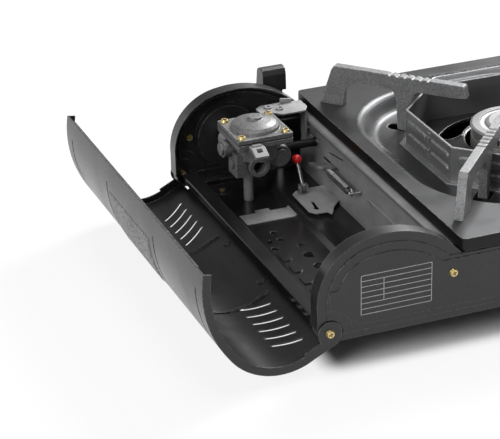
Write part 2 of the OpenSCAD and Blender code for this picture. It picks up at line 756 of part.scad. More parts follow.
// Die-cast valve body: flange and neck under the cover, a barrel across, the inlet
// towards the bay and the spindle's housing towards the knob
module valve_body() {
    flange_z = cover_z - 7.2;
    color("darkgray") difference() {
        union() {
            translate([valve_x - cover_w / 2, valve_y - cover_w / 2, flange_z])
                cube([cover_w, cover_w, 3.4]);
            // lug under the bracket
            translate([valve_x - cover_w / 2 - 0.5, valve_y - cover_w / 2 - 8, flange_z])
                cube([9, 9, 3.4]);
            translate([valve_x, valve_y, can_z + 4]) cylinder(r = 15.5, h = cover_z - can_z - 9);
            translate([valve_x - 14, valve_y, can_z + 3]) rotate([0, 90, 0])
                cylinder(r = 9, h = 29);
            translate([valve_x + 14, valve_y - 4, can_z + 10]) rotate([0, 90, 0])
                cylinder(r = 6, h = 9);
            translate([valve_x + 14, valve_y - 4, can_z + 10]) rotate([0, 90, 0])
                cylinder(r = 4.4, h = 10.6);
            // outlet chamber
            translate([valve_x - 15.5, valve_y + 8, can_z + 2.4]) rotate([90, 0, 0])
                cylinder(r = 7.6, h = 20);
            translate([valve_x - 15.5, valve_y + 9.4, can_z + 2.4]) rotate([90, 0, 0])
                cylinder(r = 5.4, h = 4);
            translate([valve_x - 15, valve_y - 1, can_z + 6]) cylinder(r = 6.6, h = 14);
            // inlet
            translate([can_x, inlet_y - 7, can_z]) rotate([90, 0, 0]) cylinder(r = 8.4, h = 26);
            translate([can_x, inlet_y, can_z]) rotate([90, 0, 0]) cylinder(r = 6.4, h = 12);
            translate([can_x, inlet_y, can_z]) rotate([90, 0, 0]) cylinder(r = 7.4, h = 2.6);
            // block with a side plug
            translate([can_x + 4, valve_y - 6, can_z - 8]) cube([11, 15, 17]);
            translate([can_x + 14, valve_y + 2, can_z]) rotate([0, 90, 0])
                cylinder(r = 3.4, h = 2.6, $fn = 6);
            translate([can_x, -case_y + 26.2, can_z]) rotate([-90, 0, 0])
                cylinder(r = 8, h = 18);
            // gas outlet towards the wall
            translate([outlet_x, pipe_y, outlet_z]) rotate([0, 90, 0]) cylinder(r = 4.6, h = 24);
            // arm that carries the key
            translate([can_x + 2, valve_y + 16, cover_z - 9]) cube([7, 9.5, 2.6]);
            translate([can_x + 2, valve_y + 10, flange_z - 3]) cube([7, 9.2, 3.1]);
        }
        translate([can_x, inlet_y + 1, can_z]) rotate([90, 0, 0]) cylinder(r = inlet_r, h = 13);
        translate([can_x, -case_y + 20, can_z]) rotate([-90, 0, 0]) cylinder(r = 3.05, h = 26);
        translate([valve_x, valve_y, cover_z - 12]) cylinder(r = 13, h = 20);
        for (sx = [-1, 1], sy = [-1, 1])
            translate([valve_x + sx * cover_screw, valve_y + sy * cover_screw, cover_z - 10])
                cylinder(r = 1.5, h = 20);
    }
}

module valve_cover() {
    color("lightgray") difference() {
        union() {
            translate([valve_x - cover_w / 2, valve_y - cover_w / 2, cover_z - 3])
                cube([cover_w, cover_w, 3]);
            translate([valve_x, valve_y, cover_z]) rotate_extrude() polygon([
                [0, 0], [17, 0], [16.4, 2], [14.6, 3.8], [11, 5.2], [6, 6.2],
                [5, 6.4], [4.6, 8], [0, 8.2]]);
        }
        translate([valve_x, valve_y, cover_z - 4]) cylinder(r = 13, h = 5);
        for (sx = [-1, 1], sy = [-1, 1])
            translate([valve_x + sx * cover_screw, valve_y + sy * cover_screw, cover_z - 10])
                cylinder(r = 1.7, h = 20);
    }
}

module diaphragm() {
    color("#303030") translate([valve_x, valve_y, cover_z - 3.75]) difference() {
        translate([-cover_w / 2 + 0.5, -cover_w / 2 + 0.5, 0])
            cube([cover_w - 1, cover_w - 1, 0.7]);
        for (sx = [-1, 1], sy = [-1, 1])
            translate([sx * cover_screw, sy * cover_screw, -1]) cylinder(r = 1.7, h = 3);
    }
}

module valve_screws() {
    color("goldenrod") {
        for (sx = [-1, 1], sy = [-1, 1])
            translate([valve_x + sx * cover_screw, valve_y + sy * cover_screw, cover_z + 0.02])
                pan_head(2.9, 1.9, 1.45, 7);
    }
}

module inlet_seal() {
    color("#252525") translate([can_x, inlet_y - 11.9, can_z]) rotate([-90, 0, 0])
        difference() {
            cylinder(r = inlet_r - 0.05, h = 2);
            translate([0, 0, -1]) cylinder(r = 2, h = 4);
        }
}

// Guide that finds the notch in the cartridge's collar
module cartridge_key() {
    color("lightgray") translate([can_x + 0.6, valve_y + 20.2, cover_z - 6.38]) difference() {
        union() {
            rotate([90, 0, 90]) linear_extrude(9.6) polygon([[0, 0], [5.6, 0], [12.6, -3],
                [13.2, -1.2], [6, 2.2], [0, 2.2]]);
            translate([1.5, 0.4, 2.1]) cube([6.4, 3, 0.9]);
        }
        translate([2.8, 6.4, -6]) cube([4, 3.2, 12]);
    }
}

// Sheet tab that ties the valve to the front end of the wall
module valve_bracket() {
    x0 = right_x + 3.7;
    z0 = cover_z - 3.7;
    y0 = lead_y - 2;
    color("gray") union() {
        translate([0, 0, z0]) linear_extrude(1.1) polygon([[x0, y0 + 2], [x0 + 13, y0],
            [x0 + 30, y0], [x0 + 34.5, y0 + 4], [x0 + 34.5, y0 + 14.5], [x0 + 27, y0 + 14.5],
            [x0 + 20, y0 + 20], [x0 + 4, y0 + 20], [x0, y0 + 14]]);
        for (p = [[26, 6], [19, 11]]) translate([x0 + p[0], y0 + p[1], z0 + 1]) difference() {
            cylinder(r = 2.8, h = 1.4);
            translate([0, 0, 0.5]) cylinder(r = 1.4, h = 2);
        }
        translate([x0 + 7, y0 + 1.5, z0 + 0.5]) rotate([0, -8, 0]) cube([9, 1.1, 3.2]);
        translate([x0, y0 + 5, z0 - 22]) cube([1.2, 9, 22.1]);
        translate([wall_face(z0 - 16) + 0.1, y0 + 5, z0 - 16]) cube([2.5, 9, 2]);
    }
}

module valve_post() {
    z0 = trough_z + sheet_t;
    color("gray") translate([can_x, valve_y - 8, z0 + 0.02])
        cylinder(r = 3.4, h = can_z - 8.44 - z0);
}

module valve_spindle() {
    color("silver") translate([can_x, -case_y - 6, can_z]) rotate([-90, 0, 0])
        cylinder(r = 3, h = 50);
}

module control_knob() {
    color("#1c1c1e") translate([can_x, -case_y - 0, can_z]) rotate([90, 0, 0]) difference() {
        union() {
            translate([0, 0, -4.6]) cylinder(r = knob_r, h = 9);
            translate([0, 0, 4]) cylinder(r1 = knob_r, r2 = knob_r - 2, h = 5);
            translate([-4, -knob_r + 3, 8]) cube([8, 2 * knob_r - 6, knob_l - 8]);
        }
        translate([0, 0, -6]) cylinder(r = 3.0, h = 12);
    }
}

module lock_handle() {
    x0 = lever_x - 8;
    y1 = -case_y - 1;
    z0 = plate_z;
    color("#1c1c1e") union() {
        // grip, rounded along its front and tapered to the top
        translate([x0, 0, 0]) rotate([90, 0, 90]) linear_extrude(17.5) polygon([
            [y1 - 18, z0 + 2], [y1 - 15, z0], [y1 - 4.4, z0], [y1 - 5, z0 + 12],
            [y1 - 6.4, z0 + 15.4], [y1 - 9, z0 + 16.4], [y1 - 13, z0 + 16.2],
            [y1 - 16, z0 + 14]]);
        translate([lever_x - 5, y1 - 8, latch_z]) cube([10, 3.6, z0 - latch_z + 1]);
        translate([lever_x - 5, y1 - 8, latch_z]) cube([10, 7.6, 12]);
    }
}

module lock_plate() {
    color("gray") translate([lever_x - 0.75, -case_y - 1.3, latch_z + 1])
        cube([1.5, 26, 9]);
}

// Finger that reaches over the floor from the slit in the wall
module latch_finger() {
    r = 13.6;
    color("lightgray") union() {
        translate([wall_x - 4, latch_y - 3, latch_z - 0.9]) cube([6, 9, 1.8]);
        translate([0, 0, latch_z - 0.9]) linear_extrude(1.8) difference() {
            translate([wall_x - 1, latch_y + 3 - r]) circle(r);
            translate([wall_x - 2.4, latch_y + 1 - r]) circle(r - 1.8);
            translate([wall_x - 21, latch_y - 40]) square([20, 100]);
            translate([wall_x - 21, latch_y - 50]) square([60, 50 - r + 4]);
        }
        translate([wall_x + 1, latch_y + 3, latch_z - 0.9]) cube([5, 3, 1.8]);
        translate([wall_x + 4.8, latch_y + 5, latch_z]) rotate([-90, 0, 0])
            cylinder(r = 1, h = 4.6);
    }
}

function spring_at(a) = [spring_r * cos(a), a / 360 * spring_l / spring_turns, spring_r * sin(a)];

// One unbroken wire, wound along y, as rings joined by triangles
module latch_spring() {
    rings = 8 * spring_turns;
    pts = [for (i = [0:rings]) let(a = i * 45) for (k = [0:5])
        let(b = k * 60, c = spring_at(a), r = spring_r + wire_r * cos(b))
            [r * cos(a), c[1] + wire_r * sin(b), r * sin(a)]];
    walls = [for (i = [0:rings - 1], k = [0:5]) let(k2 = (k + 1) % 6)
        each [[i * 6 + k, (i + 1) * 6 + k, (i + 1) * 6 + k2],
              [i * 6 + k, (i + 1) * 6 + k2, i * 6 + k2]]];
    first = [for (k = [1:4]) [0, k, k + 1]];
    last = [for (k = [1:4]) [rings * 6, rings * 6 + k + 1, rings * 6 + k]];
    color("silver") translate([wall_x + 4.8, spring_y, latch_z])
        polyhedron(points = pts, faces = concat(walls, first, last));
}
echo(spring_gap = spring_l / spring_turns - 2 * wire_r);

// Ring and hook on the wall that hold the spring's far end
module spring_anchor() {
    y = spring_y + spring_l + 0.3 + 3.2;
    color("silver") union() {
        translate([wall_x + 4.8, y, latch_z]) rotate([0, 90, 0])
            rotate_extrude() translate([2.6, 0]) circle(0.6);
        translate([wall_face(latch_z) + 0.05, y + 2.6, latch_z]) rotate([0, 90, 0])
            cylinder(r = 0.9, h = wall_x + 6.4 - wall_face(latch_z));
        translate([wall_face(latch_z) + 0.3, y + 2.6, latch_z]) rotate([0, 90, 0])
            cylinder(r = 1.9, h = 1);
    }
}

module trip_lever() {
    color("silver") translate([trip_x, trip_y, bracket_z + 5.2]) union() {
        rotate([0, 90, 0]) difference() {
            cylinder(r = 3.2, h = 3, center = true);
            cylinder(r = 1.25, h = 4, center = true);
        }
        rotate([32, 0, 0]) translate([0, 0, 2.6]) cylinder(r = 1.3, h = 15);
    }
}

module trip_ball() {
    color("red") translate([trip_x, trip_y, bracket_z + 5.2]) rotate([32, 0, 0])
        translate([0, 0, 20]) difference() {
            sphere(3.4);
            translate([0, 0, -5]) cylinder(r = 1.33, h = 4);
        }
}

// Bolt and yoke on the bracket plate
module trip_pivot() {
    color("silver") translate([trip_x, trip_y, bracket_z]) union() {
        translate([0, 0, 5.2]) rotate([0, 90, 0]) cylinder(r = 1.2, h = 7, center = true);
        for (s = [-1, 1]) translate([s * 2.5, 0, sheet_t + 3.3])
            cube([1.2, 4, 6.5], center = true);
        translate([0, 0, sheet_t + 0.5]) cube([6.2, 4, 0.9], center = true);
        translate([0, 0, -1.6]) cylinder(r = 1.5, h = 3);
    }
}

module feet() {
    color("#202022") for (x = [left_foot_x, right_foot_x], y = [front_foot_y, back_foot_y])
        translate([x, y, 0]) difference() {
            cylinder(r1 = 8, r2 = 10.5, h = foot_top(x) - 0.02);
            translate([0, 0, -1]) cylinder(r = 4.5, h = foot_top(x) - 4);
            cylinder(r = 2.2, h = foot_h + 1);
        }
}

module foot_screws() {
    color("goldenrod") for (x = [left_foot_x, right_foot_x], y = [front_foot_y, back_foot_y])
        translate([x, y, foot_top(x)]) union() {
            translate([0, 0, -7.4]) cylinder(r = 3.6, h = 2.2);
            translate([0, 0, -7.3]) cylinder(r = 2.1, h = 7.3 + sheet_t + 1.4);
        }
}

module pan_head(r, h, shank_r, shank_l) {
    difference() {
        union() {
            cylinder(r1 = r, r2 = r * 0.78, h = h);
            translate([0, 0, -shank_l]) cylinder(r = shank_r, h = shank_l + 0.01);
        }
        for (turn = [0, 90]) rotate([0, 0, turn + 20]) translate([0, 0, h])
            cube([r * 1.1, 0.8, 2], center = true);
    }
}

module panel_screws() {
    color("goldenrod") {
        for (x = [left_screw_x, back_screw_x]) at_panel(x) pan_head(2.9, 1.7, 1.6, 7);
        mirror([0, 1, 0]) at_panel(left_screw_x) pan_head(2.9, 1.7, 1.6, 7);
        // this one has its head inside the bay
        mirror([0, 1, 0]) at_panel(bay_screw_x) translate([0, 0, -sheet_t - 0.06])
            mirror([0, 0, 1]) pan_head(2.9, 1.7, 1.6, 2.4);
    }
}

module hinge_screws() {
    color("goldenrod") for (side = [0, 1]) mirror([0, side, 0])
        translate([hinge_x, lid_half + 0.08, hinge_z]) rotate([-90, 0, 0])
            pan_head(2.9, 1.7, hinge_r, 9);
}

// Outline of the lid's sheet, from its outer face inwards
module lid_profile(inset) {
    intersection() {
        translate([lid_crown_x, lid_crown_z]) circle(lid_crown_r - inset, $fn = 128);
        crown_side(lid_crown_x, lid_crown_z);
        polygon([[lid_crown_x, lid_crown_z], [lid_crown_x + 200 * cos(lid_edge_turn),
            lid_crown_z + 200 * sin(lid_edge_turn)], [260, 200], [260, lid_crown_z]]);
    }
    intersection() {
        translate([shoulder_x, shoulder_z])
            circle(lid_shoulder_r + arch_over - inset, $fn = 128);
        translate([shoulder_x, shoulder_z]) polygon([[0, 0], [80 * cos(crown_turn + 12),
            80 * sin(crown_turn + 12)], [80, 80], [80, -14], [0, -0.5]]);
    }
    translate([shoulder_x, hinge_z - 2])
        square([lid_shoulder_r - inset, shoulder_z - hinge_z + 2.01]);
    polygon([[lid_crown_x, lid_crown_z], [shoulder_x, shoulder_z],
        [shoulder_x + 10, shoulder_z + 30], [lid_crown_x + 8, lid_crown_z + 30]]);
}

// The band of sheet between two insets of the lid's outline
module lid_band(outer, inner) {
    difference() {
        lid_profile(outer);
        lid_profile(inner);
        polygon([[lid_crown_x, lid_crown_z], [lid_crown_x - 90, lid_crown_z - 60], [shoulder_x,
            base_z - 20], [shoulder_x + 28, base_z], [shoulder_x + 28, shoulder_z]]);
    }
}

// Turns a piece drawn closed into its place on the open lid
module lid_opened() {
    translate([hinge_x, 0, hinge_z]) rotate([0, lid_open, 0])
        translate([-hinge_x, 0, -hinge_z]) children();
}

module lid_shell() {
    t = sheet_t;
    color("#2e2f31") lid_opened() difference() {
        union() {
            difference() {
                union() {
                    slab(-lid_half, lid_half) lid_band(0, t);
                    for (side = [0, 1]) mirror([0, side, 0])
                        slab(lid_half - t, lid_half) lid_band(0, rim_w - 0.8);
                }
                // the skin is cut short where it faces the end panels
                for (side = [0, 1]) mirror([0, side, 0])
                    translate([hinge_x, case_y - flange_w - 2.4, 0])
                        cube([80, 60, hinge_z + 4]);
            }
            for (side = [0, 1]) mirror([0, side, 0]) slab(lid_half - t, lid_half) lid_ear();
            // ribs pressed inwards, following the curve
            for (y = [-45.5, 44]) slab(y - 1.3, y + 1.3) intersection() {
                lid_band(t - 0.1, t + 0.9);
                lid_sector(28, 117);
            }
            for (y = [-32, 29]) translate([shoulder_x + lid_shoulder_r - t - 0.7, y, 37])
                rotate([0, 90, 0]) cylinder(r = 2.6, h = 1);
        }
        // the same ribs and the end beads, seen from outside
        for (y = [-119, -45.5, 44, 119]) slab(y - 0.9, y + 0.9) intersection() {
            lid_band(-1, 0.5);
            lid_sector(30, 116);
        }
        for (side = [0, 1]) mirror([0, side, 0]) translate([hinge_x, case_y, hinge_z])
            rotate([90, 0, 0]) cylinder(r = hinge_r + 0.05, h = 20, center = true);
        for (i = [0:vent_count]) lid_slot(50.2 + i * 10.35, 30);
        for (i = [0:vent_count - 1]) lid_slot(-103.4 + i * 10.3, -31.5);
    }
}

// Part of the plane seen from the crown's centre between two directions
module lid_sector(a0, a1) {
    translate([lid_crown_x, lid_crown_z])
        polygon([[0, 0], [140 * cos(a0), 140 * sin(a0)], [140 * cos(a1), 140 * sin(a1)]]);
}

// Ear round the hinge screw, joined to the end flange by a neck
module lid_ear() {
    neck = hinge_x + 2.2;
    translate([hinge_x, hinge_z]) circle(ear_r);
    translate([neck, hinge_z - 2]) square([shoulder_x + lid_shoulder_r - neck, 22]);
}

// One slanted vent slot through the lid's outer wall
module lid_slot(y, lean) {
    translate([shoulder_x + 34, y, 50.5]) rotate([lean, 0, 0]) rotate([0, 90, 0])
        linear_extrude(12) slot2d(21, 2.3);
}

// Doubled strip along the lid's free edge
module lid_edge_strip() {
    half = lid_half - flange_w - 1.8;
    color("#2e2f31") lid_opened() slab(-half, half) intersection() {
        lid_band(sheet_t + 0.02, 2 * sheet_t + 0.02);
        lid_sector(lid_edge_turn - 6, lid_edge_turn);
    }
}

placed() base_pan();
placed() side_panel();
placed() back_panel();
placed() front_panel();
placed() partition_wall();
placed() cartridge_rest();
placed() top_plate();
placed() wind_shield();
placed() pan_support_1();
placed() pan_support_2();
placed() pan_support_3();
placed() pan_support_4();
placed() mixing_tube();
placed() burner_head();
placed() burner_cap();
placed() gas_jet();
placed() gas_pipe();
placed() electrode();
placed() electrode_lead();
placed() piezo_igniter();
placed() valve_body();
placed() valve_cover();
placed() diaphragm();
placed() valve_screws();
placed() inlet_seal();
placed() cartridge_key();
placed() valve_bracket();
placed() valve_post();
placed() control_knob();
placed() valve_spindle();
placed() lock_handle();
placed() lock_plate();
placed() latch_finger();
placed() latch_spring();
placed() spring_anchor();
placed() trip_lever();
placed() trip_ball();
placed() trip_pivot();
placed() feet();
placed() foot_screws();
placed() panel_screws();
placed() hinge_screws();
placed() lid_shell();
placed() lid_edge_strip();
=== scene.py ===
"""Finishes, trim pieces, light and camera for a table-top cartridge stove."""
import logging
import math
from dataclasses import dataclass, field
from enum import Enum

import bmesh
import bpy
from mathutils import Matrix, Vector, noise
from mathutils.bvhtree import BVHTree


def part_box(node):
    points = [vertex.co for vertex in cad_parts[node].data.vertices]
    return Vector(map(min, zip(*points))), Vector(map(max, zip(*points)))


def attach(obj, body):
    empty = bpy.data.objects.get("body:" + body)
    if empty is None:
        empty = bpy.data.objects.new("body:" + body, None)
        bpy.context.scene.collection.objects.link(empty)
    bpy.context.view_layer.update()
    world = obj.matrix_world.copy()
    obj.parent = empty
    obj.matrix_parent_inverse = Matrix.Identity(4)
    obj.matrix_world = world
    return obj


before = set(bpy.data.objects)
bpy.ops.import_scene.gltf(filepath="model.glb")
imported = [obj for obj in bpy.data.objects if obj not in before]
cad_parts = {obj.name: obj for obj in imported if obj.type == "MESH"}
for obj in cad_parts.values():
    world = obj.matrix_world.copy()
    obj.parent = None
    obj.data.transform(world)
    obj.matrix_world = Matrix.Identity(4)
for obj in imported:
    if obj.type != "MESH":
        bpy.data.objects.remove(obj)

LOG = logging.getLogger("stove")
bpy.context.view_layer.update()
Colour = tuple[float, float, float]
Link = bpy.types.NodeSocket | float | Colour


class Grain(Enum):
    """The kinds of surface that the stove's pieces have."""

    PAINT = "sprayed paint"
    CAST = "sand casting"
    BRUSHED = "rolled sheet"
    MOULDED = "moulded plastic"


@dataclass(frozen=True)
class Finish:
    """Everything that tells one finish of the stove from another.

    Args:
        name: the material's name.
        colour: the main colour, linear.
        shade: the colour that the grain's clouds lead to.
        grain: what kind of surface it is.
        metallic: the Principled shader's value.
        roughness: its mean.
        rough_spread: how far clouds and finger marks move the roughness.
        grain_size: size of the grain in metres.
        grain_depth: height of the grain in metres.
        edge_radius: radius that edges are softened to, in metres.
        edge_colour: colour of rubbed edges and of their painted highlight.
        edge_amount: how strongly edges are rubbed and painted bright, 0 to 1.
        dust: how much dust lies on faces that look up, 0 to 1.
        crevice_shade: how strongly painted shade darkens corners and crevices, 0 to 1.
        specular: the Principled shader's specular level.
        coat: weight of a clear coat.
        shaded_skirt: node whose turned-down edge gets painted shade, if any.
    """

    name: str
    colour: Colour
    shade: Colour
    grain: Grain
    metallic: float = 0.0
    roughness: float = 0.45
    rough_spread: float = 0.12
    grain_size: float = 0.0012
    grain_depth: float = 0.00003
    edge_radius: float = 0.0004
    edge_colour: Colour = (0.25, 0.25, 0.26)
    edge_amount: float = 0.2
    dust: float = 0.06
    # amount of painted shade in corners and crevices
    crevice_shade: float = 0.45
    specular: float = 0.5
    coat: float = 0.0
    shaded_skirt: str = ""


class Graph:
    """Lays nodes in one tree and joins them."""

    def __init__(self, tree: bpy.types.NodeTree) -> None:
        """Keeps the tree that the nodes go into."""
        self.tree = tree

    def add(self, kind: str, sockets: dict[str | int, Link] | None = None,
            **settings: object) -> bpy.types.Node:
        """Adds a node.

        Args:
            kind: the node's type name.
            sockets: what each input gets, a value or another node's output.
            settings: the node's own properties.

        Returns:
            The node.
        """
        node = self.tree.nodes.new(kind)
        for key, value in settings.items():
            setattr(node, key, value)
        for key, value in (sockets or {}).items():
            self.feed(node.inputs[key], value)
        return node

    def feed(self, socket: bpy.types.NodeSocket, value: Link) -> None:
        """Joins an output to a socket, or sets the socket's own value.

        Args:
            socket: the input socket.
            value: what it gets.
        """
        if isinstance(value, bpy.types.NodeSocket):
            self.tree.links.new(value, socket)
        elif isinstance(value, tuple) and len(value) == 3 and socket.type == "RGBA":
            socket.default_value = (*value, 1.0)
        else:
            socket.default_value = value

    def math(self, operation: str, a: Link, b: Link = 0.0,
             clamp: bool = False) -> bpy.types.NodeSocket:
        """Puts in one Math node and returns its output."""
        return self.add("ShaderNodeMath", {0: a, 1: b}, operation=operation,
                        use_clamp=clamp).outputs[0]

    def total(self, *parts: tuple[Link, float]) -> bpy.types.NodeSocket:
        """Adds up outputs, each times its share.

        Args:
            parts: each output with its share.

        Returns:
            The sum's output.
        """
        added = self.math("MULTIPLY", *parts[0])
        for value, share in parts[1:]:
            added = self.math("ADD", added, self.math("MULTIPLY", value, share))
        return added

    def blend(self, factor: Link, a: Link, b: Link) -> bpy.types.NodeSocket:
        """Mixes two colours and returns the output."""
        return self.add("ShaderNodeMix", {0: factor, 6: a, 7: b},
                        data_type="RGBA").outputs[2]

    def ramp(self, value: Link, low: float, high: float) -> bpy.types.NodeSocket:
        """Maps low..high to 0..1, smoothly and clamped, and returns the output."""
        return self.add("ShaderNodeMapRange", {0: value, 1: low, 2: high},
                        interpolation_type="SMOOTHSTEP").outputs[0]

    def place(self) -> bpy.types.NodeSocket:
        """Returns the place on the piece, in metres."""
        return self.add("ShaderNodeTexCoord").outputs["Object"]

    def noise(self, where: Link, scale: Link, detail: float = 2.0,
              rough: float = 0.5) -> bpy.types.NodeSocket:
        """Puts in a Noise Texture and returns its value."""
        return self.add("ShaderNodeTexNoise", {"Vector": where, "Scale": scale,
                        "Detail": detail, "Roughness": rough}).outputs[0]


class Effects:
    """The node groups that the finishes share, each made once."""

    SAMPLES = 6  # rays of each bevel and occlusion node
    SIZE: dict[str, float] = {"Size": 0.0012}
    SKIN: dict[str, str] = {"Height": "NodeSocketFloat", "Tint": "NodeSocketFloat"}
    EDGE_REACH = 2.2  # of the edge's radius
    EDGE_TURN = (0.015, 0.22)  # turn of the normal where wear and painted highlight start and are full
    EDGE_PATCHES = 420.0  # per metre, as the other patches below
    EDGE_FULL = 0.75
    PAINT_CLOUDS = 0.03  # of the grain's own rate, as the next ones
    CAST_PITS = 0.8
    CAST_LUMPS = 0.12
    SHEET_CLOUDS = 0.04
    SHEET_DRAWN = (1.0, 0.03, 1.0)  # lines run along the case's depth
    SPECKS = 2600.0
    SPECK_SIZE = (0.60, 0.74)
    FILM = 34.0
    LOOKS_UP = (0.2, 0.95)
    MARKS = 22.0
    MARK_EDGE = (0.35, 0.7)
    # the next three shape the painted shade in corners and crevices
    SHUT_IN = (0.12, 0.75)
    SHADE_PATCHES = 260.0
    SOOT_LEAST, SOOT_MORE = 0.65, 0.7

    def __init__(self) -> None:
        """Makes every group."""
        self.edges = self._edges()
        self.peel = self._peel()
        self.casting = self._casting()
        self.rolling = self._rolling()
        self.settling = self._settling()
        self.crevice_shade = self._crevice_shade()

    @staticmethod
    def _start(name: str, inputs: dict[str, float], outputs: dict[str, str]) -> tuple[
            bpy.types.NodeTree, Graph, bpy.types.Node, bpy.types.Node]:
        """Makes an empty group with its sockets.

        Args:
            name: the group's name.
            inputs: names and defaults of its float inputs.
            outputs: names of its outputs, and what each one carries.

        Returns:
            The group, its graph, and its input and output nodes.
        """
        tree = bpy.data.node_groups.new(name, "ShaderNodeTree")
        for label, value in inputs.items():
            made = tree.interface.new_socket(label, in_out="INPUT",
                                             socket_type="NodeSocketFloat")
            made.default_value = value
        for label, kind in outputs.items():
            tree.interface.new_socket(label, in_out="OUTPUT", socket_type=kind)
        graph = Graph(tree)
        return tree, graph, graph.add("NodeGroupInput"), graph.add("NodeGroupOutput")

    def _edges(self) -> bpy.types.NodeTree:
        """Softens edges and masks where they are rubbed bright and painted with highlight
        lines.

        Returns:
            The group.
        """
        tree, g, given, out = self._start(
            "Edge wear and highlight", {"Radius": 0.0004, "Breakup": 0.35},
            {"Mask": "NodeSocketFloat", "Normal": "NodeSocketVector"})
        radius = given.outputs["Radius"]
        soft = g.add("ShaderNodeBevel", {"Radius": radius}, samples=self.SAMPLES)
        wide = g.add("ShaderNodeBevel", {"Radius": g.math(
            "MULTIPLY", radius, self.EDGE_REACH)}, samples=self.SAMPLES)
        flat = g.add("ShaderNodeNewGeometry").outputs["True Normal"]
        turn = g.add("ShaderNodeVectorMath", {0: wide.outputs[0], 1: flat},
                     operation="DOT_PRODUCT").outputs["Value"]
        bent = g.ramp(g.math("SUBTRACT", 1.0, turn), *self.EDGE_TURN)
        patches = g.noise(g.place(), self.EDGE_PATCHES, detail=3.0, rough=0.6)
        patchy = g.ramp(patches, given.outputs["Breakup"], self.EDGE_FULL)
        g.feed(out.inputs["Mask"], g.math("MULTIPLY", bent, patchy))
        g.feed(out.inputs["Normal"], soft.outputs[0])
        return tree

    def _peel(self) -> bpy.types.NodeTree:
        """Gives sprayed paint its slight orange peel and soft clouds.

        Returns:
            The group.
        """
        tree, g, given, out = self._start("Paint skin", self.SIZE, self.SKIN)
        where = g.place()
        often = g.math("DIVIDE", 1.0, given.outputs["Size"])
        fine = g.noise(where, often, detail=2.0, rough=0.45)
        broad = g.noise(where, g.math("MULTIPLY", often, self.PAINT_CLOUDS),
                        detail=3.0, rough=0.55)
        g.feed(out.inputs["Height"], fine)
        g.feed(out.inputs["Tint"], g.total((broad, 0.7), (fine, 0.3)))
        return tree

    def _casting(self) -> bpy.types.NodeTree:
        """Gives a rough casting its sandy, pitted skin.

        Returns:
            The group.
        """
        tree, g, given, out = self._start("Cast skin", self.SIZE, self.SKIN)
        where = g.place()
        often = g.math("DIVIDE", 1.0, given.outputs["Size"])
        sand = g.noise(where, often, detail=5.0, rough=0.7)
        pits = g.add("ShaderNodeTexVoronoi", {"Vector": where, "Scale": g.math(
            "MULTIPLY", often, self.CAST_PITS)}, feature="SMOOTH_F1").outputs["Distance"]
        lumps = g.noise(where, g.math("MULTIPLY", often, self.CAST_LUMPS))
        g.feed(out.inputs["Height"], g.total((sand, 0.6), (pits, 0.3), (lumps, 0.8)))
        g.feed(out.inputs["Tint"], g.total((sand, 0.88), (lumps, 0.12)))
        return tree

    def _rolling(self) -> bpy.types.NodeTree:
        """Draws the fine lines left along a rolled sheet or a drawn wire.

        Returns:
            The group.
        """
        tree, g, given, out = self._start("Rolled skin", self.SIZE, self.SKIN)
        where = g.place()
        drawn = g.add("ShaderNodeMapping", {"Vector": where,
                      "Scale": self.SHEET_DRAWN}).outputs[0]
        often = g.math("DIVIDE", 1.0, given.outputs["Size"])
        lines = g.noise(drawn, often, detail=3.0, rough=0.6)
        clouds = g.noise(where, g.math("MULTIPLY", often, self.SHEET_CLOUDS),
                         detail=4.0, rough=0.6)
        g.feed(out.inputs["Height"], lines)
        g.feed(out.inputs["Tint"], g.total((lines, 0.4), (clouds, 0.6)))
        return tree

    def _settling(self) -> bpy.types.NodeTree:
        """Lays dust on faces that look up, and finger marks in the gloss.

        Returns:
            The group.
        """
        tree, g, given, out = self._start(
            "Dust and marks", {"Amount": 0.1},
            {"Dust": "NodeSocketFloat", "Marks": "NodeSocketFloat"})
        where = g.place()
        up = g.add("ShaderNodeSeparateXYZ", {0: g.add(
            "ShaderNodeNewGeometry").outputs["Normal"]}).outputs[2]
        specks = g.ramp(g.noise(where, self.SPECKS, detail=2.0, rough=0.6),
                        *self.SPECK_SIZE)
        film = g.noise(where, self.FILM, detail=4.0, rough=0.6)
        lying = g.math("MULTIPLY", g.ramp(up, *self.LOOKS_UP), given.outputs["Amount"])
        g.feed(out.inputs["Dust"], g.math("MULTIPLY", lying, g.total(
            (specks, 0.5), (film, 0.5)), clamp=True))
        g.feed(out.inputs["Marks"], g.ramp(g.noise(where, self.MARKS, detail=3.0,
                                                   rough=0.55), *self.MARK_EDGE))
        return tree

    def _crevice_shade(self) -> bpy.types.NodeTree:
        """Masks the corners and crevices for painted shade, broken into patches.

        Returns:
            The group.
        """
        tree, g, given, out = self._start("Painted crevice shade", {"Reach": 0.004, "Amount": 0.4},
                                          {"Mask": "NodeSocketFloat"})
        open_sky = g.add("ShaderNodeAmbientOcclusion", {
            "Distance": given.outputs["Reach"]}, samples=self.SAMPLES).outputs["AO"]
        shut = g.ramp(g.math("SUBTRACT", 1.0, open_sky), *self.SHUT_IN)
        patches = g.noise(g.place(), self.SHADE_PATCHES, detail=3.0, rough=0.6)
        patchy = g.math("ADD", self.SOOT_LEAST, g.math("MULTIPLY", patches, self.SOOT_MORE))
        g.feed(out.inputs["Mask"], g.math("MULTIPLY", given.outputs["Amount"], g.math(
            "MULTIPLY", shut, patchy), clamp=True))
        return tree


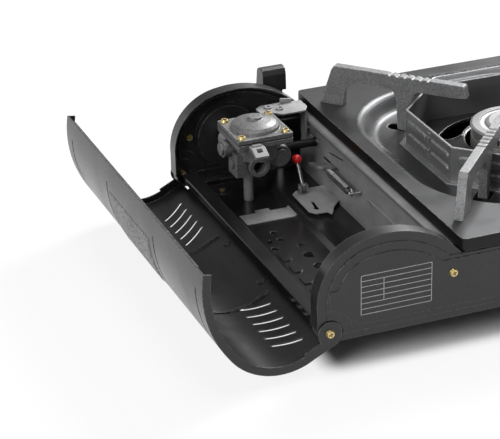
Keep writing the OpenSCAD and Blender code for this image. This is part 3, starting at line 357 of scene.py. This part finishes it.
class Finisher:
    """Turns a Finish into a material, once each."""

    DUST: Colour = (0.42, 0.41, 0.39)
    # colour of painted shade, in crevices and on the plate's turned-down edge
    PAINTED_SHADE: Colour = (0.012, 0.0115, 0.011)
    COAT_ROUGH = 0.12
    CLOUDS = (0.3, 0.7)  # grain values between which the two colours blend
    DUST_ROUGH = 0.4
    SKIRT_DROP = 0.0012  # how far under the plate's top its painted shade starts
    SKIRT_RIM = (0.97, 0.98)  # of the plate's half width

    def __init__(self, effects: Effects) -> None:
        """Keeps the shared effects and starts with no material."""
        self.effects = effects
        self.made: dict[str, bpy.types.Material] = {}

    def skin(self, grain: Grain) -> bpy.types.NodeTree:
        """Returns the group that gives a kind of surface its grain."""
        return {Grain.PAINT: self.effects.peel, Grain.CAST: self.effects.casting,
                Grain.BRUSHED: self.effects.rolling, Grain.MOULDED: self.effects.peel}[grain]

    @staticmethod
    def shaded_skirt(g: Graph, node: str) -> bpy.types.NodeSocket:
        """Masks the upright edge round a plate, where shade is painted.

        Args:
            g: the material's graph.
            node: the plate's node.

        Returns:
            The mask, 1 on the edge.
        """
        low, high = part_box(node)
        where = g.add("ShaderNodeSeparateXYZ", {0: g.place()})
        far = 0.0
        for axis in (0, 1):
            middle, half = (low[axis] + high[axis]) / 2, (high[axis] - low[axis]) / 2
            along = g.math("DIVIDE", g.math("ABSOLUTE", g.math(
                "SUBTRACT", where.outputs[axis], middle)), half)
            far = g.math("MAXIMUM", far, along)
        below = g.math("LESS_THAN", where.outputs[2], high[2] - Finisher.SKIRT_DROP)
        return g.math("MULTIPLY", g.ramp(far, *Finisher.SKIRT_RIM), below)

    def material(self, finish: Finish) -> bpy.types.Material:
        """Makes or finds the material of a finish.

        Args:
            finish: the finish.

        Returns:
            Its material.
        """
        if finish.name in self.made:
            return self.made[finish.name]
        made = bpy.data.materials.new(finish.name)
        made.use_nodes = True
        made.node_tree.nodes.clear()
        g = Graph(made.node_tree)
        out = g.add("ShaderNodeOutputMaterial")
        shader = g.add("ShaderNodeBsdfPrincipled", {
            "Metallic": finish.metallic, "Specular IOR Level": finish.specular,
            "Coat Weight": finish.coat, "Coat Roughness": self.COAT_ROUGH})
        edges = g.add("ShaderNodeGroup", node_tree=self.effects.edges)
        edges.inputs["Radius"].default_value = finish.edge_radius
        skin = g.add("ShaderNodeGroup", node_tree=self.skin(finish.grain))
        skin.inputs["Size"].default_value = finish.grain_size
        lying = g.add("ShaderNodeGroup", node_tree=self.effects.settling)
        lying.inputs["Amount"].default_value = finish.dust
        clouds = g.ramp(skin.outputs["Tint"], *self.CLOUDS)
        colour = g.blend(clouds, finish.colour, finish.shade)
        # Rubbed wear and painted highlight: masked edges turn towards edge_colour.
        rubbed_and_highlit = g.math("MULTIPLY", edges.outputs["Mask"], finish.edge_amount)
        colour = g.blend(rubbed_and_highlit, colour, finish.edge_colour)
        # Painted shade: corners and crevices, found by occlusion, darken towards the shade
        # colour.
        crevice_mask = g.add("ShaderNodeGroup", node_tree=self.effects.crevice_shade)
        crevice_mask.inputs["Amount"].default_value = finish.crevice_shade
        colour = g.blend(crevice_mask.outputs["Mask"], colour, self.PAINTED_SHADE)
        colour = g.blend(lying.outputs["Dust"], colour, self.DUST)
        # Painted shade: the plate's turned-down edge is blended to the shade colour.
        if finish.shaded_skirt:
            colour = g.blend(self.shaded_skirt(g, finish.shaded_skirt), colour, self.PAINTED_SHADE)
        g.feed(shader.inputs["Base Color"], colour)
        spread = g.math("MULTIPLY", g.math("SUBTRACT", lying.outputs["Marks"], 0.5),
                        finish.rough_spread)
        rough = g.math("ADD", g.math("ADD", spread, finish.roughness), g.math(
            "MULTIPLY", lying.outputs["Dust"], self.DUST_ROUGH), clamp=True)
        g.feed(shader.inputs["Roughness"], rough)
        bump = g.add("ShaderNodeBump", {"Strength": 1.0, "Distance": finish.grain_depth,
                     "Height": skin.outputs["Height"], "Normal": edges.outputs["Normal"]})
        g.feed(shader.inputs["Normal"], bump.outputs[0])
        g.feed(out.inputs["Surface"], shader.outputs[0])
        self.made[finish.name] = made
        return made


PANEL = Finish("Panel paint", (0.014, 0.014, 0.015), (0.019, 0.019, 0.020), Grain.PAINT,
               roughness=0.27, rough_spread=0.08, edge_colour=(0.22, 0.22, 0.225),
               edge_amount=0.65, edge_radius=0.0006, grain_depth=0.000012, dust=0.02)
LID = Finish("Lid paint", (0.013, 0.013, 0.014), (0.018, 0.018, 0.019), Grain.PAINT,
             roughness=0.28, rough_spread=0.08, edge_colour=(0.26, 0.26, 0.265),
             edge_amount=0.7, edge_radius=0.0006, grain_depth=0.000012, dust=0.02)
FLOOR = Finish("Base paint", (0.006, 0.006, 0.0065), (0.01, 0.01, 0.0105), Grain.PAINT,
               roughness=0.18, rough_spread=0.08, edge_colour=(0.2, 0.2, 0.2),
               edge_amount=0.6, edge_radius=0.0005, grain_depth=0.000008, dust=0.03)
PLATE = Finish("Plate enamel", (0.044, 0.045, 0.047), (0.056, 0.057, 0.059), Grain.PAINT,
               metallic=0.6, roughness=0.33, grain_size=0.0009, grain_depth=0.000018,
               edge_radius=0.0009, edge_colour=(0.45, 0.45, 0.46), edge_amount=0.85,
               dust=0.03, shaded_skirt="top_plate")
# Painted highlight: the groove's bead is coloured light grey for the light its crests catch.
HIGHLIT_BEAD = Finish("Bead with painted highlight", (0.34, 0.342, 0.346), (0.46, 0.462, 0.466), Grain.PAINT,
              metallic=0.35, roughness=0.32, grain_size=0.0009, grain_depth=0.000018,
              edge_colour=(0.45, 0.45, 0.46), dust=0.02, crevice_shade=0.0)
SHIELD = Finish("Shield coating", (0.17, 0.171, 0.174), (0.21, 0.211, 0.215), Grain.PAINT,
                metallic=0.4, roughness=0.36, grain_size=0.0008, grain_depth=0.00002,
                edge_radius=0.0006, edge_colour=(0.6, 0.6, 0.61), edge_amount=0.9,
                dust=0.02, crevice_shade=0.1)
IRON = Finish("Cast support", (0.1, 0.101, 0.104), (0.3, 0.301, 0.306), Grain.CAST,
              metallic=0.3, roughness=0.48, grain_size=0.0009, grain_depth=0.00016,
              edge_radius=0.0009, edge_colour=(0.6, 0.6, 0.61), edge_amount=0.9,
              dust=0.03)
ZINC = Finish("Zinc sheet", (0.27, 0.27, 0.275), (0.38, 0.38, 0.385), Grain.BRUSHED,
              metallic=0.4, roughness=0.44, grain_size=0.0006, grain_depth=0.000008,
              edge_colour=(0.7, 0.7, 0.7), edge_amount=0.7, dust=0.03)
# its corners and crevices get strong painted shade
DIECAST = Finish("Die casting", (0.09, 0.09, 0.092), (0.25, 0.25, 0.25), Grain.CAST,
                 metallic=0.55, roughness=0.5, grain_size=0.001, grain_depth=0.00018,
                 edge_radius=0.0008, edge_colour=(0.62, 0.62, 0.62), edge_amount=0.8,
                 dust=0.03, crevice_shade=0.9)
ALLOY = Finish("Burner casting", (0.3, 0.29, 0.275), (0.4, 0.39, 0.37), Grain.CAST,
               metallic=0.6, roughness=0.5, grain_size=0.001, grain_depth=0.00006,
               edge_colour=(0.6, 0.6, 0.6), edge_amount=0.4)
CAP = Finish("Turned cap", (0.25, 0.25, 0.25), (0.34, 0.34, 0.34), Grain.BRUSHED,
             metallic=0.7, roughness=0.5, grain_size=0.0008, grain_depth=0.00001,
             edge_colour=(0.7, 0.7, 0.7), edge_amount=0.6, dust=0.02)
WIRE = Finish("Bright wire", (0.36, 0.36, 0.36), (0.46, 0.46, 0.46), Grain.BRUSHED,
              metallic=0.9, roughness=0.3, grain_size=0.0004, grain_depth=0.000004,
              edge_radius=0.0002, edge_colour=(0.7, 0.7, 0.7), dust=0.02)
SPRING = Finish("Oiled spring wire", (0.16, 0.16, 0.158), (0.24, 0.238, 0.232),
                Grain.BRUSHED, metallic=0.9, roughness=0.34, grain_size=0.0004,
                grain_depth=0.000004, edge_radius=0.0002, edge_colour=(0.5, 0.5, 0.5),
                dust=0.02)
# Painted shade: near-black steel for the gas pipe and the lock plate, which sit in shade.
SHADE_DARK_STEEL = Finish("Dark steel, painted shade", (0.02, 0.019, 0.018), (0.034, 0.032, 0.03), Grain.BRUSHED,
              metallic=0.8, roughness=0.45, grain_size=0.0006, grain_depth=0.000006,
              edge_colour=(0.2, 0.2, 0.2), dust=0.03)
BRASS = Finish("Yellow zinc", (0.62, 0.46, 0.18), (0.74, 0.6, 0.3), Grain.BRUSHED,
               metallic=0.9, roughness=0.28, grain_size=0.0005, grain_depth=0.000006,
               edge_radius=0.0003, edge_colour=(0.9, 0.8, 0.55), dust=0.02)
PLASTIC = Finish("Black plastic", (0.012, 0.012, 0.0125), (0.018, 0.018, 0.0185),
                 Grain.MOULDED, roughness=0.34, grain_size=0.0006, grain_depth=0.00003,
                 edge_radius=0.001, edge_colour=(0.07, 0.07, 0.07), edge_amount=0.4)
RED = Finish("Red plastic", (0.62, 0.004, 0.008), (0.7, 0.006, 0.012), Grain.MOULDED,
             roughness=0.24, rough_spread=0.06, grain_size=0.001, grain_depth=0.000005,
             edge_colour=(0.8, 0.08, 0.08), edge_amount=0.2, dust=0.01, coat=0.3)
RUBBER = Finish("Black rubber", (0.014, 0.014, 0.014), (0.022, 0.022, 0.022),
                Grain.MOULDED, roughness=0.7, grain_size=0.0007, grain_depth=0.00004,
                edge_radius=0.0005, edge_colour=(0.05, 0.05, 0.05), specular=0.3)
GREY = Finish("Grey plastic", (0.24, 0.24, 0.245), (0.3, 0.3, 0.305), Grain.MOULDED,
              roughness=0.45, grain_size=0.0006, grain_depth=0.00002,
              edge_radius=0.0005, edge_colour=(0.6, 0.6, 0.6), edge_amount=0.3)
CERAMIC = Finish("White ceramic", (0.7, 0.68, 0.62), (0.78, 0.76, 0.7), Grain.MOULDED,
                 roughness=0.4, grain_size=0.0008, grain_depth=0.00001,
                 edge_colour=(0.8, 0.78, 0.72), edge_amount=0.2)
PEBBLE = Finish("Pebbled paint", (0.004, 0.004, 0.0042), (0.34, 0.34, 0.343), Grain.CAST,
                roughness=0.5, grain_size=0.0016, grain_depth=0.00022,
                edge_colour=(0.2, 0.2, 0.205), dust=0.02)
PRINT = Finish("Print", (0.5, 0.5, 0.5), (0.6, 0.6, 0.6), Grain.PAINT, roughness=0.5,
               grain_size=0.0005, grain_depth=0.000004, edge_radius=0.0001,
               edge_amount=0.0)


class Piece:
    """Makes mesh pieces and hangs them on the frame."""

    @staticmethod
    def mesh(name: str, build: bmesh.types.BMesh, material: bpy.types.Material,
             body: str, slot: str) -> bpy.types.Object:
        """Turns a bmesh into an object that rides on a body.

        Args:
            name: the piece's name.
            build: its geometry; it is freed.
            material: its material.
            body: the CAD body that it moves with.
            slot: the record's material slot; not used.

        Returns:
            The object.
        """
        data = bpy.data.meshes.new(name)
        build.to_mesh(data)
        build.free()
        data.materials.append(material)
        made = bpy.data.objects.new(name, data)
        bpy.context.scene.collection.objects.link(made)
        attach(made, body)
        LOG.info("piece %s on %s", name, body)
        return made


@dataclass
class Case:
    """The pressed case, its base, feet and screws, with the printed frame."""

    finisher: Finisher
    field_y: float = 0.1442
    label_x: tuple[float, float] = (0.0390, 0.0864)
    label_z: tuple[float, float] = (0.0365, 0.0630)
    label_rows: int = 7
    label_line: float = 0.00035
    label_column: float = 0.68
    label_back: float = 0.00001
    label_face: float = 0.00003
    finishes: dict[str, Finish] = field(default_factory=lambda: {
        "base_pan": FLOOR, "side_panel": PANEL, "back_panel": PANEL,
        "front_panel": PANEL, "partition_wall": ZINC, "cartridge_rest": ZINC,
        "feet": RUBBER, "foot_screws": BRASS, "panel_screws": BRASS})

    def build(self) -> None:
        """Dresses the case's nodes and adds the empty printed frame."""
        dress(self.finisher, self.finishes)
        self.label()

    def label(self) -> None:
        """Builds the ruled frame printed on the back panel, with nothing in it."""
        build = bmesh.new()
        (x0, x1), (z0, z1) = self.label_x, self.label_z
        step = (z1 - z0) / self.label_rows
        column = x0 + (x1 - x0) * self.label_column
        rules = [(x0, z0 + i * step, x1, z0 + i * step)
                 for i in range(self.label_rows + 1)]
        rules += [(x, z0, x, z1) for x in (x0, x1)]
        rules.append((column, z0 + step * 2, column, z1 - step))
        for ax, az, bx, bz in rules:
            upright = ax == bx
            across = self.label_line / 2 if upright else 0.0
            along = 0.0 if upright else self.label_line / 2
            corners = [(ax - across, az - along), (bx + across, az - along),
                       (bx + across, bz + along), (ax - across, bz + along)]
            lower, upper = ([build.verts.new((x, self.field_y + out, z)) for x, z in corners]
                            for out in (self.label_back, self.label_face))
            build.faces.new(upper)
            for i in range(4):
                j = (i + 1) % 4
                build.faces.new((lower[i], lower[j], upper[j], upper[i]))
        bmesh.ops.recalc_face_normals(build, faces=build.faces)
        Piece.mesh("label_frame", build, self.finisher.material(PRINT), "case", "case_dark")


@dataclass
class Hob:
    """The top plate, the wind shield, the supports and the burner."""

    finisher: Finisher
    finishes: dict[str, Finish] = field(default_factory=lambda: {
        "top_plate": PLATE, "wind_shield": SHIELD, "pan_support_1": IRON,
        "pan_support_2": IRON, "pan_support_3": IRON, "pan_support_4": IRON,
        "mixing_tube": ALLOY, "burner_head": ALLOY, "burner_cap": CAP,
        "gas_jet": BRASS, "gas_pipe": SHADE_DARK_STEEL, "electrode": CERAMIC,
        "electrode_lead": RUBBER})
    plate_z: float = 0.074
    plate: BVHTree | None = None
    groove_x: tuple[float, float] = (-0.1560, -0.0765)
    groove_y: tuple[float, float] = (-0.0986, -0.0865)
    groove_r: float = 0.0055
    groove_step: float = 0.002
    groove_turns: int = 8
    bead_width: float = 0.0018
    bead_height: float = 0.0008
    bead_sink: float = 0.00005
    bead_strips: int = 6

    def build(self) -> None:
        """Dresses the hob's nodes and presses the groove along the front."""
        dress(self.finisher, self.finishes)
        sheet = bmesh.new()
        sheet.from_mesh(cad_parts["top_plate"].data)
        self.plate = BVHTree.FromBMesh(sheet)
        sheet.free()
        self.bead("front_groove", self.groove())

    def on_corner(self, x: float, y: float, turn: float) -> Vector:
        """Gives a point of a corner's arc, its direction being in degrees."""
        a = math.radians(turn)
        return Vector((x + self.groove_r * math.cos(a), y + self.groove_r * math.sin(a)))

    def groove(self) -> list[Vector]:
        """Draws the groove's outline, a rectangle with round corners.

        Returns:
            Its points, seen from above.
        """
        (x0, x1), (y0, y1), r = self.groove_x, self.groove_y, self.groove_r
        centres = ((x1 - r, y1 - r, 0), (x0 + r, y1 - r, 90), (x0 + r, y0 + r, 180),
                   (x1 - r, y0 + r, 270))
        path: list[Vector] = []
        for n, (x, y, start) in enumerate(centres):
            path += [self.on_corner(x, y, start + k * 90 / self.groove_turns)
                     for k in range(self.groove_turns + 1)]
            last, goal = path[-1], self.on_corner(*centres[(n + 1) % 4])
            steps = max(2, int((goal - last).length / self.groove_step))
            path += [last.lerp(goal, k / steps) for k in range(1, steps)]
        return path

    def surface(self, at: Vector) -> float:
        """Measures the top plate's height under a point seen from above."""
        above = Vector((at.x, at.y, 2 * self.plate_z))
        spot = self.plate.ray_cast(above, Vector((0, 0, -1)))[0]
        return spot.z if spot else self.plate_z

    def bead(self, name: str, path: list[Vector]) -> None:
        """Builds a pressed bead that follows a closed path and lies on the plate.

        Args:
            name: the piece's name.
            path: the bead's middle line, seen from above.
        """
        build = bmesh.new()
        rows: list[list[bmesh.types.BMVert]] = []
        for i, here in enumerate(path):
            ahead = (path[(i + 1) % len(path)] - path[i - 1]).normalized()
            side = Vector((-ahead.y, ahead.x))
            row = []
            for j in range(self.bead_strips + 1):
                v = 2 * j / self.bead_strips - 1
                at = here + side * (v * self.bead_width / 2)
                rise = self.bead_height * math.cos(v * math.pi / 2) - self.bead_sink
                row.append(build.verts.new((at.x, at.y, self.surface(at) + rise)))
            rows.append(row)
        for i, a in enumerate(rows):
            b = rows[(i + 1) % len(rows)]
            for j in range(self.bead_strips):
                build.faces.new((a[j], a[j + 1], b[j + 1], b[j]))
        bmesh.ops.recalc_face_normals(build, faces=build.faces)
        made = Piece.mesh(name, build, self.finisher.material(HIGHLIT_BEAD), "case", "plate_grey")
        made.data.shade_smooth()


@dataclass
class ValveUnit:
    """The valve unit with its knob, spark generator, lever and latch."""

    finisher: Finisher
    finishes: dict[str, Finish] = field(default_factory=lambda: {
        "piezo_igniter": GREY, "valve_body": DIECAST, "valve_cover": DIECAST,
        "diaphragm": RUBBER, "valve_screws": BRASS, "inlet_seal": RUBBER,
        "cartridge_key": GREY, "valve_bracket": ZINC, "valve_post": ZINC,
        "control_knob": PLASTIC, "valve_spindle": WIRE, "lock_handle": PLASTIC,
        "lock_plate": SHADE_DARK_STEEL, "latch_finger": WIRE, "latch_spring": SPRING,
        "spring_anchor": WIRE, "trip_lever": SPRING, "trip_ball": RED,
        "trip_pivot": WIRE})

    def build(self) -> None:
        """Dresses the valve unit's nodes."""
        dress(self.finisher, self.finishes)


@dataclass
class Lid:
    """The arched lid with its edge strip, hinge screws and raised badge."""

    finisher: Finisher
    hinge: tuple[float, float] = (0.106896, 0.028)
    crown: tuple[float, float] = (0.065607, 0.011669)
    crown_r: float = 0.078
    opened: float = 116.5
    badge_y: tuple[float, float] = (-0.030, 0.048)
    badge_turn: tuple[float, float] = (84.0, 111.5)
    badge_cells: tuple[int, int] = (150, 64)
    badge_rim: float = 3.0
    badge_taper: float = 0.004
    badge_gap: float = 0.0001
    badge_thick: float = 0.0005
    pebbles: tuple[float, float, float] = (900.0, 1.2, 3.1)
    pebble_height: float = 0.00022
    finishes: dict[str, Finish] = field(default_factory=lambda: {
        "lid_shell": LID, "lid_edge_strip": LID, "hinge_screws": BRASS})

    def build(self) -> None:
        """Dresses the lid's nodes and adds the badge."""
        dress(self.finisher, self.finishes)
        self.badge()

    def place(self, y: float, turn: float, radius: float) -> Vector:
        """Gives a point on the open lid's curve.

        Args:
            y: along the lid.
            turn: direction from the crown's centre with the lid shut, in degrees.
            radius: distance from the crown's centre.

        Returns:
            The point in the frame.
        """
        a = math.radians(turn)
        x = self.crown[0] + radius * math.cos(a) - self.hinge[0]
        z = self.crown[1] + radius * math.sin(a) - self.hinge[1]
        t = math.radians(self.opened)
        return Vector((self.hinge[0] + x * math.cos(t) + z * math.sin(t), y,
                       self.hinge[1] - x * math.sin(t) + z * math.cos(t)))

    def pad(self, u: float, v: float) -> Vector:
        """Gives a point of the badge's pebbled face.

        Args:
            u: place along the lid, 0 to 1.
            v: place round the crown, 0 to 1.

        Returns:
            The point in the frame.
        """
        (y0, y1), (low, high), (nu, nv) = self.badge_y, self.badge_turn, self.badge_cells
        turn = low + (high - low) * v
        taper = self.badge_taper * (1 - v)
        y = y0 + taper + (y1 - y0 - 2 * taper) * u
        inside = min(1.0, min(u, 1 - u) * nu / self.badge_rim,
                     min(v, 1 - v) * nv / self.badge_rim)
        along, round_, seed = self.pebbles
        pebble = noise.noise(Vector((y * along, turn * round_, seed))) * self.pebble_height
        return self.place(y, turn, self.crown_r + self.badge_gap
                          + (self.badge_thick + pebble) * inside)

    def badge(self) -> None:
        """Builds a thin pebbled pad with tapered ends on the lid's outer face."""
        build = bmesh.new()
        nu, nv = self.badge_cells
        rows = [[build.verts.new(self.pad(i / nu, j / nv)) for i in range(nu + 1)]
                for j in range(nv + 1)]
        for a, b in zip(rows, rows[1:]):
            for i in range(nu):
                build.faces.new((a[i], a[i + 1], b[i + 1], b[i]))
        bmesh.ops.recalc_face_normals(build, faces=build.faces)
        made = Piece.mesh("lid_badge", build, self.finisher.material(PEBBLE), "lid",
                          "lid_paint")
        made.data.shade_smooth()


def dress(finisher: Finisher, finishes: dict[str, Finish]) -> None:
    """Gives CAD nodes their materials.

    Args:
        finisher: what makes the materials.
        finishes: the finish of each node.
    """
    for node, finish in finishes.items():
        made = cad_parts[node]
        for place in made.material_slots:
            place.material = finisher.material(finish)
        LOG.info("node %s in %s", node, finish.name)


@dataclass(frozen=True)
class Softbox:
    """One square lamp: its name, place, aim, side in metres and watts."""

    name: str
    eye: tuple[float, float, float]
    target: tuple[float, float, float]
    size: float
    power: float


@dataclass
class Studio:
    """White surroundings, soft lamps, the floor and the camera."""

    eye: tuple[float, float, float] = (0.589176, 1.252274, 0.686766)
    azimuth: float = 158.7208
    elevation: float = 25.6765
    roll: float = -1.1961
    lens: float = 162.948
    sensor: float = 36.0
    clip: tuple[float, float] = (0.05, 20.0)
    white: Colour = (1.0, 1.0, 1.0)
    ambient: float = 0.14
    backdrop: tuple[float, float] = (0.15, 0.55)
    floor_size: float = 6.0
    floor_colour: Colour = (0.86, 0.86, 0.86)
    floor_glow: float = 0.86
    hidden: tuple[tuple[float, float], ...] = ((-0.187, 0.104), (-0.116, 0.142))
    hidden_fade: float = 0.01
    lamps: tuple[Softbox, ...] = (
        Softbox("key", (-0.95, -0.75, 1.05), (0.02, 0.0, 0.05), 0.7, 34.0),
        Softbox("fill", (1.3, 0.8, 0.85), (0.05, 0.0, 0.05), 0.6, 13.0),
        Softbox("top", (0.15, 0.1, 1.5), (0.03, 0.0, 0.0), 0.7, 9.0))

    def build(self) -> None:
        """Sets up everything that isn't the stove."""
        scene = bpy.context.scene
        scene.view_settings.view_transform = "Standard"
        self.world(scene)
        self.floor()
        for lamp in self.lamps:
            self.hang(lamp)
        self.camera(scene)

    def world(self, scene: bpy.types.Scene) -> None:
        """Makes the surroundings white to the camera and soft to the stove.

        Args:
            scene: the scene that gets the world.
        """
        world = bpy.data.worlds.new("Studio")
        scene.world = world
        world.use_nodes = True
        world.node_tree.nodes.clear()
        g = Graph(world.node_tree)
        rays = g.add("ShaderNodeLightPath")
        seen = g.math("ADD", rays.outputs["Is Camera Ray"],
                      rays.outputs["Is Transmission Ray"], clamp=True)
        where = g.add("ShaderNodeTexCoord").outputs["Generated"]
        height = g.add("ShaderNodeSeparateXYZ", {0: where}).outputs[2]
        low_down = g.math("SUBTRACT", 1.0, g.ramp(height, *self.backdrop))
        shown = g.math("MULTIPLY", rays.outputs["Is Glossy Ray"], low_down)
        lit = g.math("ADD", self.ambient, g.math("MULTIPLY", shown, 1.0 - self.ambient))
        ground = g.add("ShaderNodeBackground", {"Color": self.white,
                       "Strength": g.math("MAXIMUM", seen, lit)})
        g.feed(g.add("ShaderNodeOutputWorld").inputs[0], ground.outputs[0])

    def floor(self) -> None:
        """Lays a white floor that keeps the stove's soft shadow."""
        build = bmesh.new()
        bmesh.ops.create_grid(build, x_segments=1, y_segments=1, size=self.floor_size)
        data = bpy.data.meshes.new("studio_floor")
        build.to_mesh(data)
        build.free()
        data.materials.append(self.paper())
        made = bpy.data.objects.new("studio_floor", data)
        bpy.context.scene.collection.objects.link(made)

    def paper(self) -> bpy.types.Material:
        """Makes the floor's paper, white to the camera save under the stove.

        Returns:
            The material.
        """
        material = bpy.data.materials.new("Studio floor")
        material.use_nodes = True
        material.node_tree.nodes.clear()
        g = Graph(material.node_tree)
        rays = g.add("ShaderNodeLightPath")
        paper = g.add("ShaderNodeBsdfDiffuse", {"Color": self.floor_colour})
        glow = g.add("ShaderNodeEmission", {"Color": self.white, "Strength": 1.0})
        where = g.add("ShaderNodeSeparateXYZ", {0: g.add(
            "ShaderNodeNewGeometry").outputs["Position"]})
        under, fade = 1.0, self.hidden_fade
        for axis, (low, high) in enumerate(self.hidden):
            along = where.outputs[axis]
            under = g.math("MULTIPLY", under, g.ramp(along, low - fade, low + fade))
            under = g.math("MULTIPLY", under, g.math(
                "SUBTRACT", 1.0, g.ramp(along, high - fade, high + fade)))
        seen = g.math("ADD", rays.outputs["Is Camera Ray"], rays.outputs["Is Glossy Ray"],
                      clamp=True)
        shown = g.math("MULTIPLY", g.math("MULTIPLY", seen, self.floor_glow),
                       g.math("SUBTRACT", 1.0, under))
        mixed = g.add("ShaderNodeMixShader", {0: shown, 1: paper.outputs[0],
                      2: glow.outputs[0]})
        g.feed(g.add("ShaderNodeOutputMaterial").inputs["Surface"], mixed.outputs[0])
        return material

    @staticmethod
    def hang(lamp: Softbox) -> None:
        """Hangs one softbox.

        Args:
            lamp: what to hang.
        """
        data = bpy.data.lights.new(lamp.name, "AREA")
        data.size = lamp.size
        data.energy = lamp.power
        made = bpy.data.objects.new(lamp.name, data)
        made.location = lamp.eye
        aim = Vector(lamp.target) - Vector(lamp.eye)
        made.rotation_euler = aim.to_track_quat("-Z", "Y").to_euler()
        bpy.context.scene.collection.objects.link(made)

    def camera(self, scene: bpy.types.Scene) -> None:
        """Puts the camera where the photograph was taken from.

        Args:
            scene: the scene that gets the camera.
        """
        a, e, r = (math.radians(v) for v in (self.azimuth, self.elevation, self.roll))
        back = Vector((math.sin(a) * math.cos(e), -math.cos(a) * math.cos(e), math.sin(e)))
        right = Vector((math.cos(a), math.sin(a), 0.0))
        up = back.cross(right)
        turned = (math.cos(r) * right + math.sin(r) * up,
                  -math.sin(r) * right + math.cos(r) * up)
        data = bpy.data.cameras.new("camera")
        data.sensor_width = self.sensor
        data.lens = self.lens
        data.clip_start, data.clip_end = self.clip
        made = bpy.data.objects.new("camera", data)
        made.matrix_world = Matrix.Translation(self.eye) @ Matrix(
            (turned[0], turned[1], back)).transposed().to_4x4()
        scene.collection.objects.link(made)
        scene.camera = made


def main() -> None:
    """Builds each sub-assembly in order."""
    logging.basicConfig(level=logging.INFO, format="%(message)s")
    finisher = Finisher(Effects())
    for part in (Case(finisher), Hob(finisher), ValveUnit(finisher), Lid(finisher), Studio()):
        part.build()


if __name__ == "__main__":
    main()
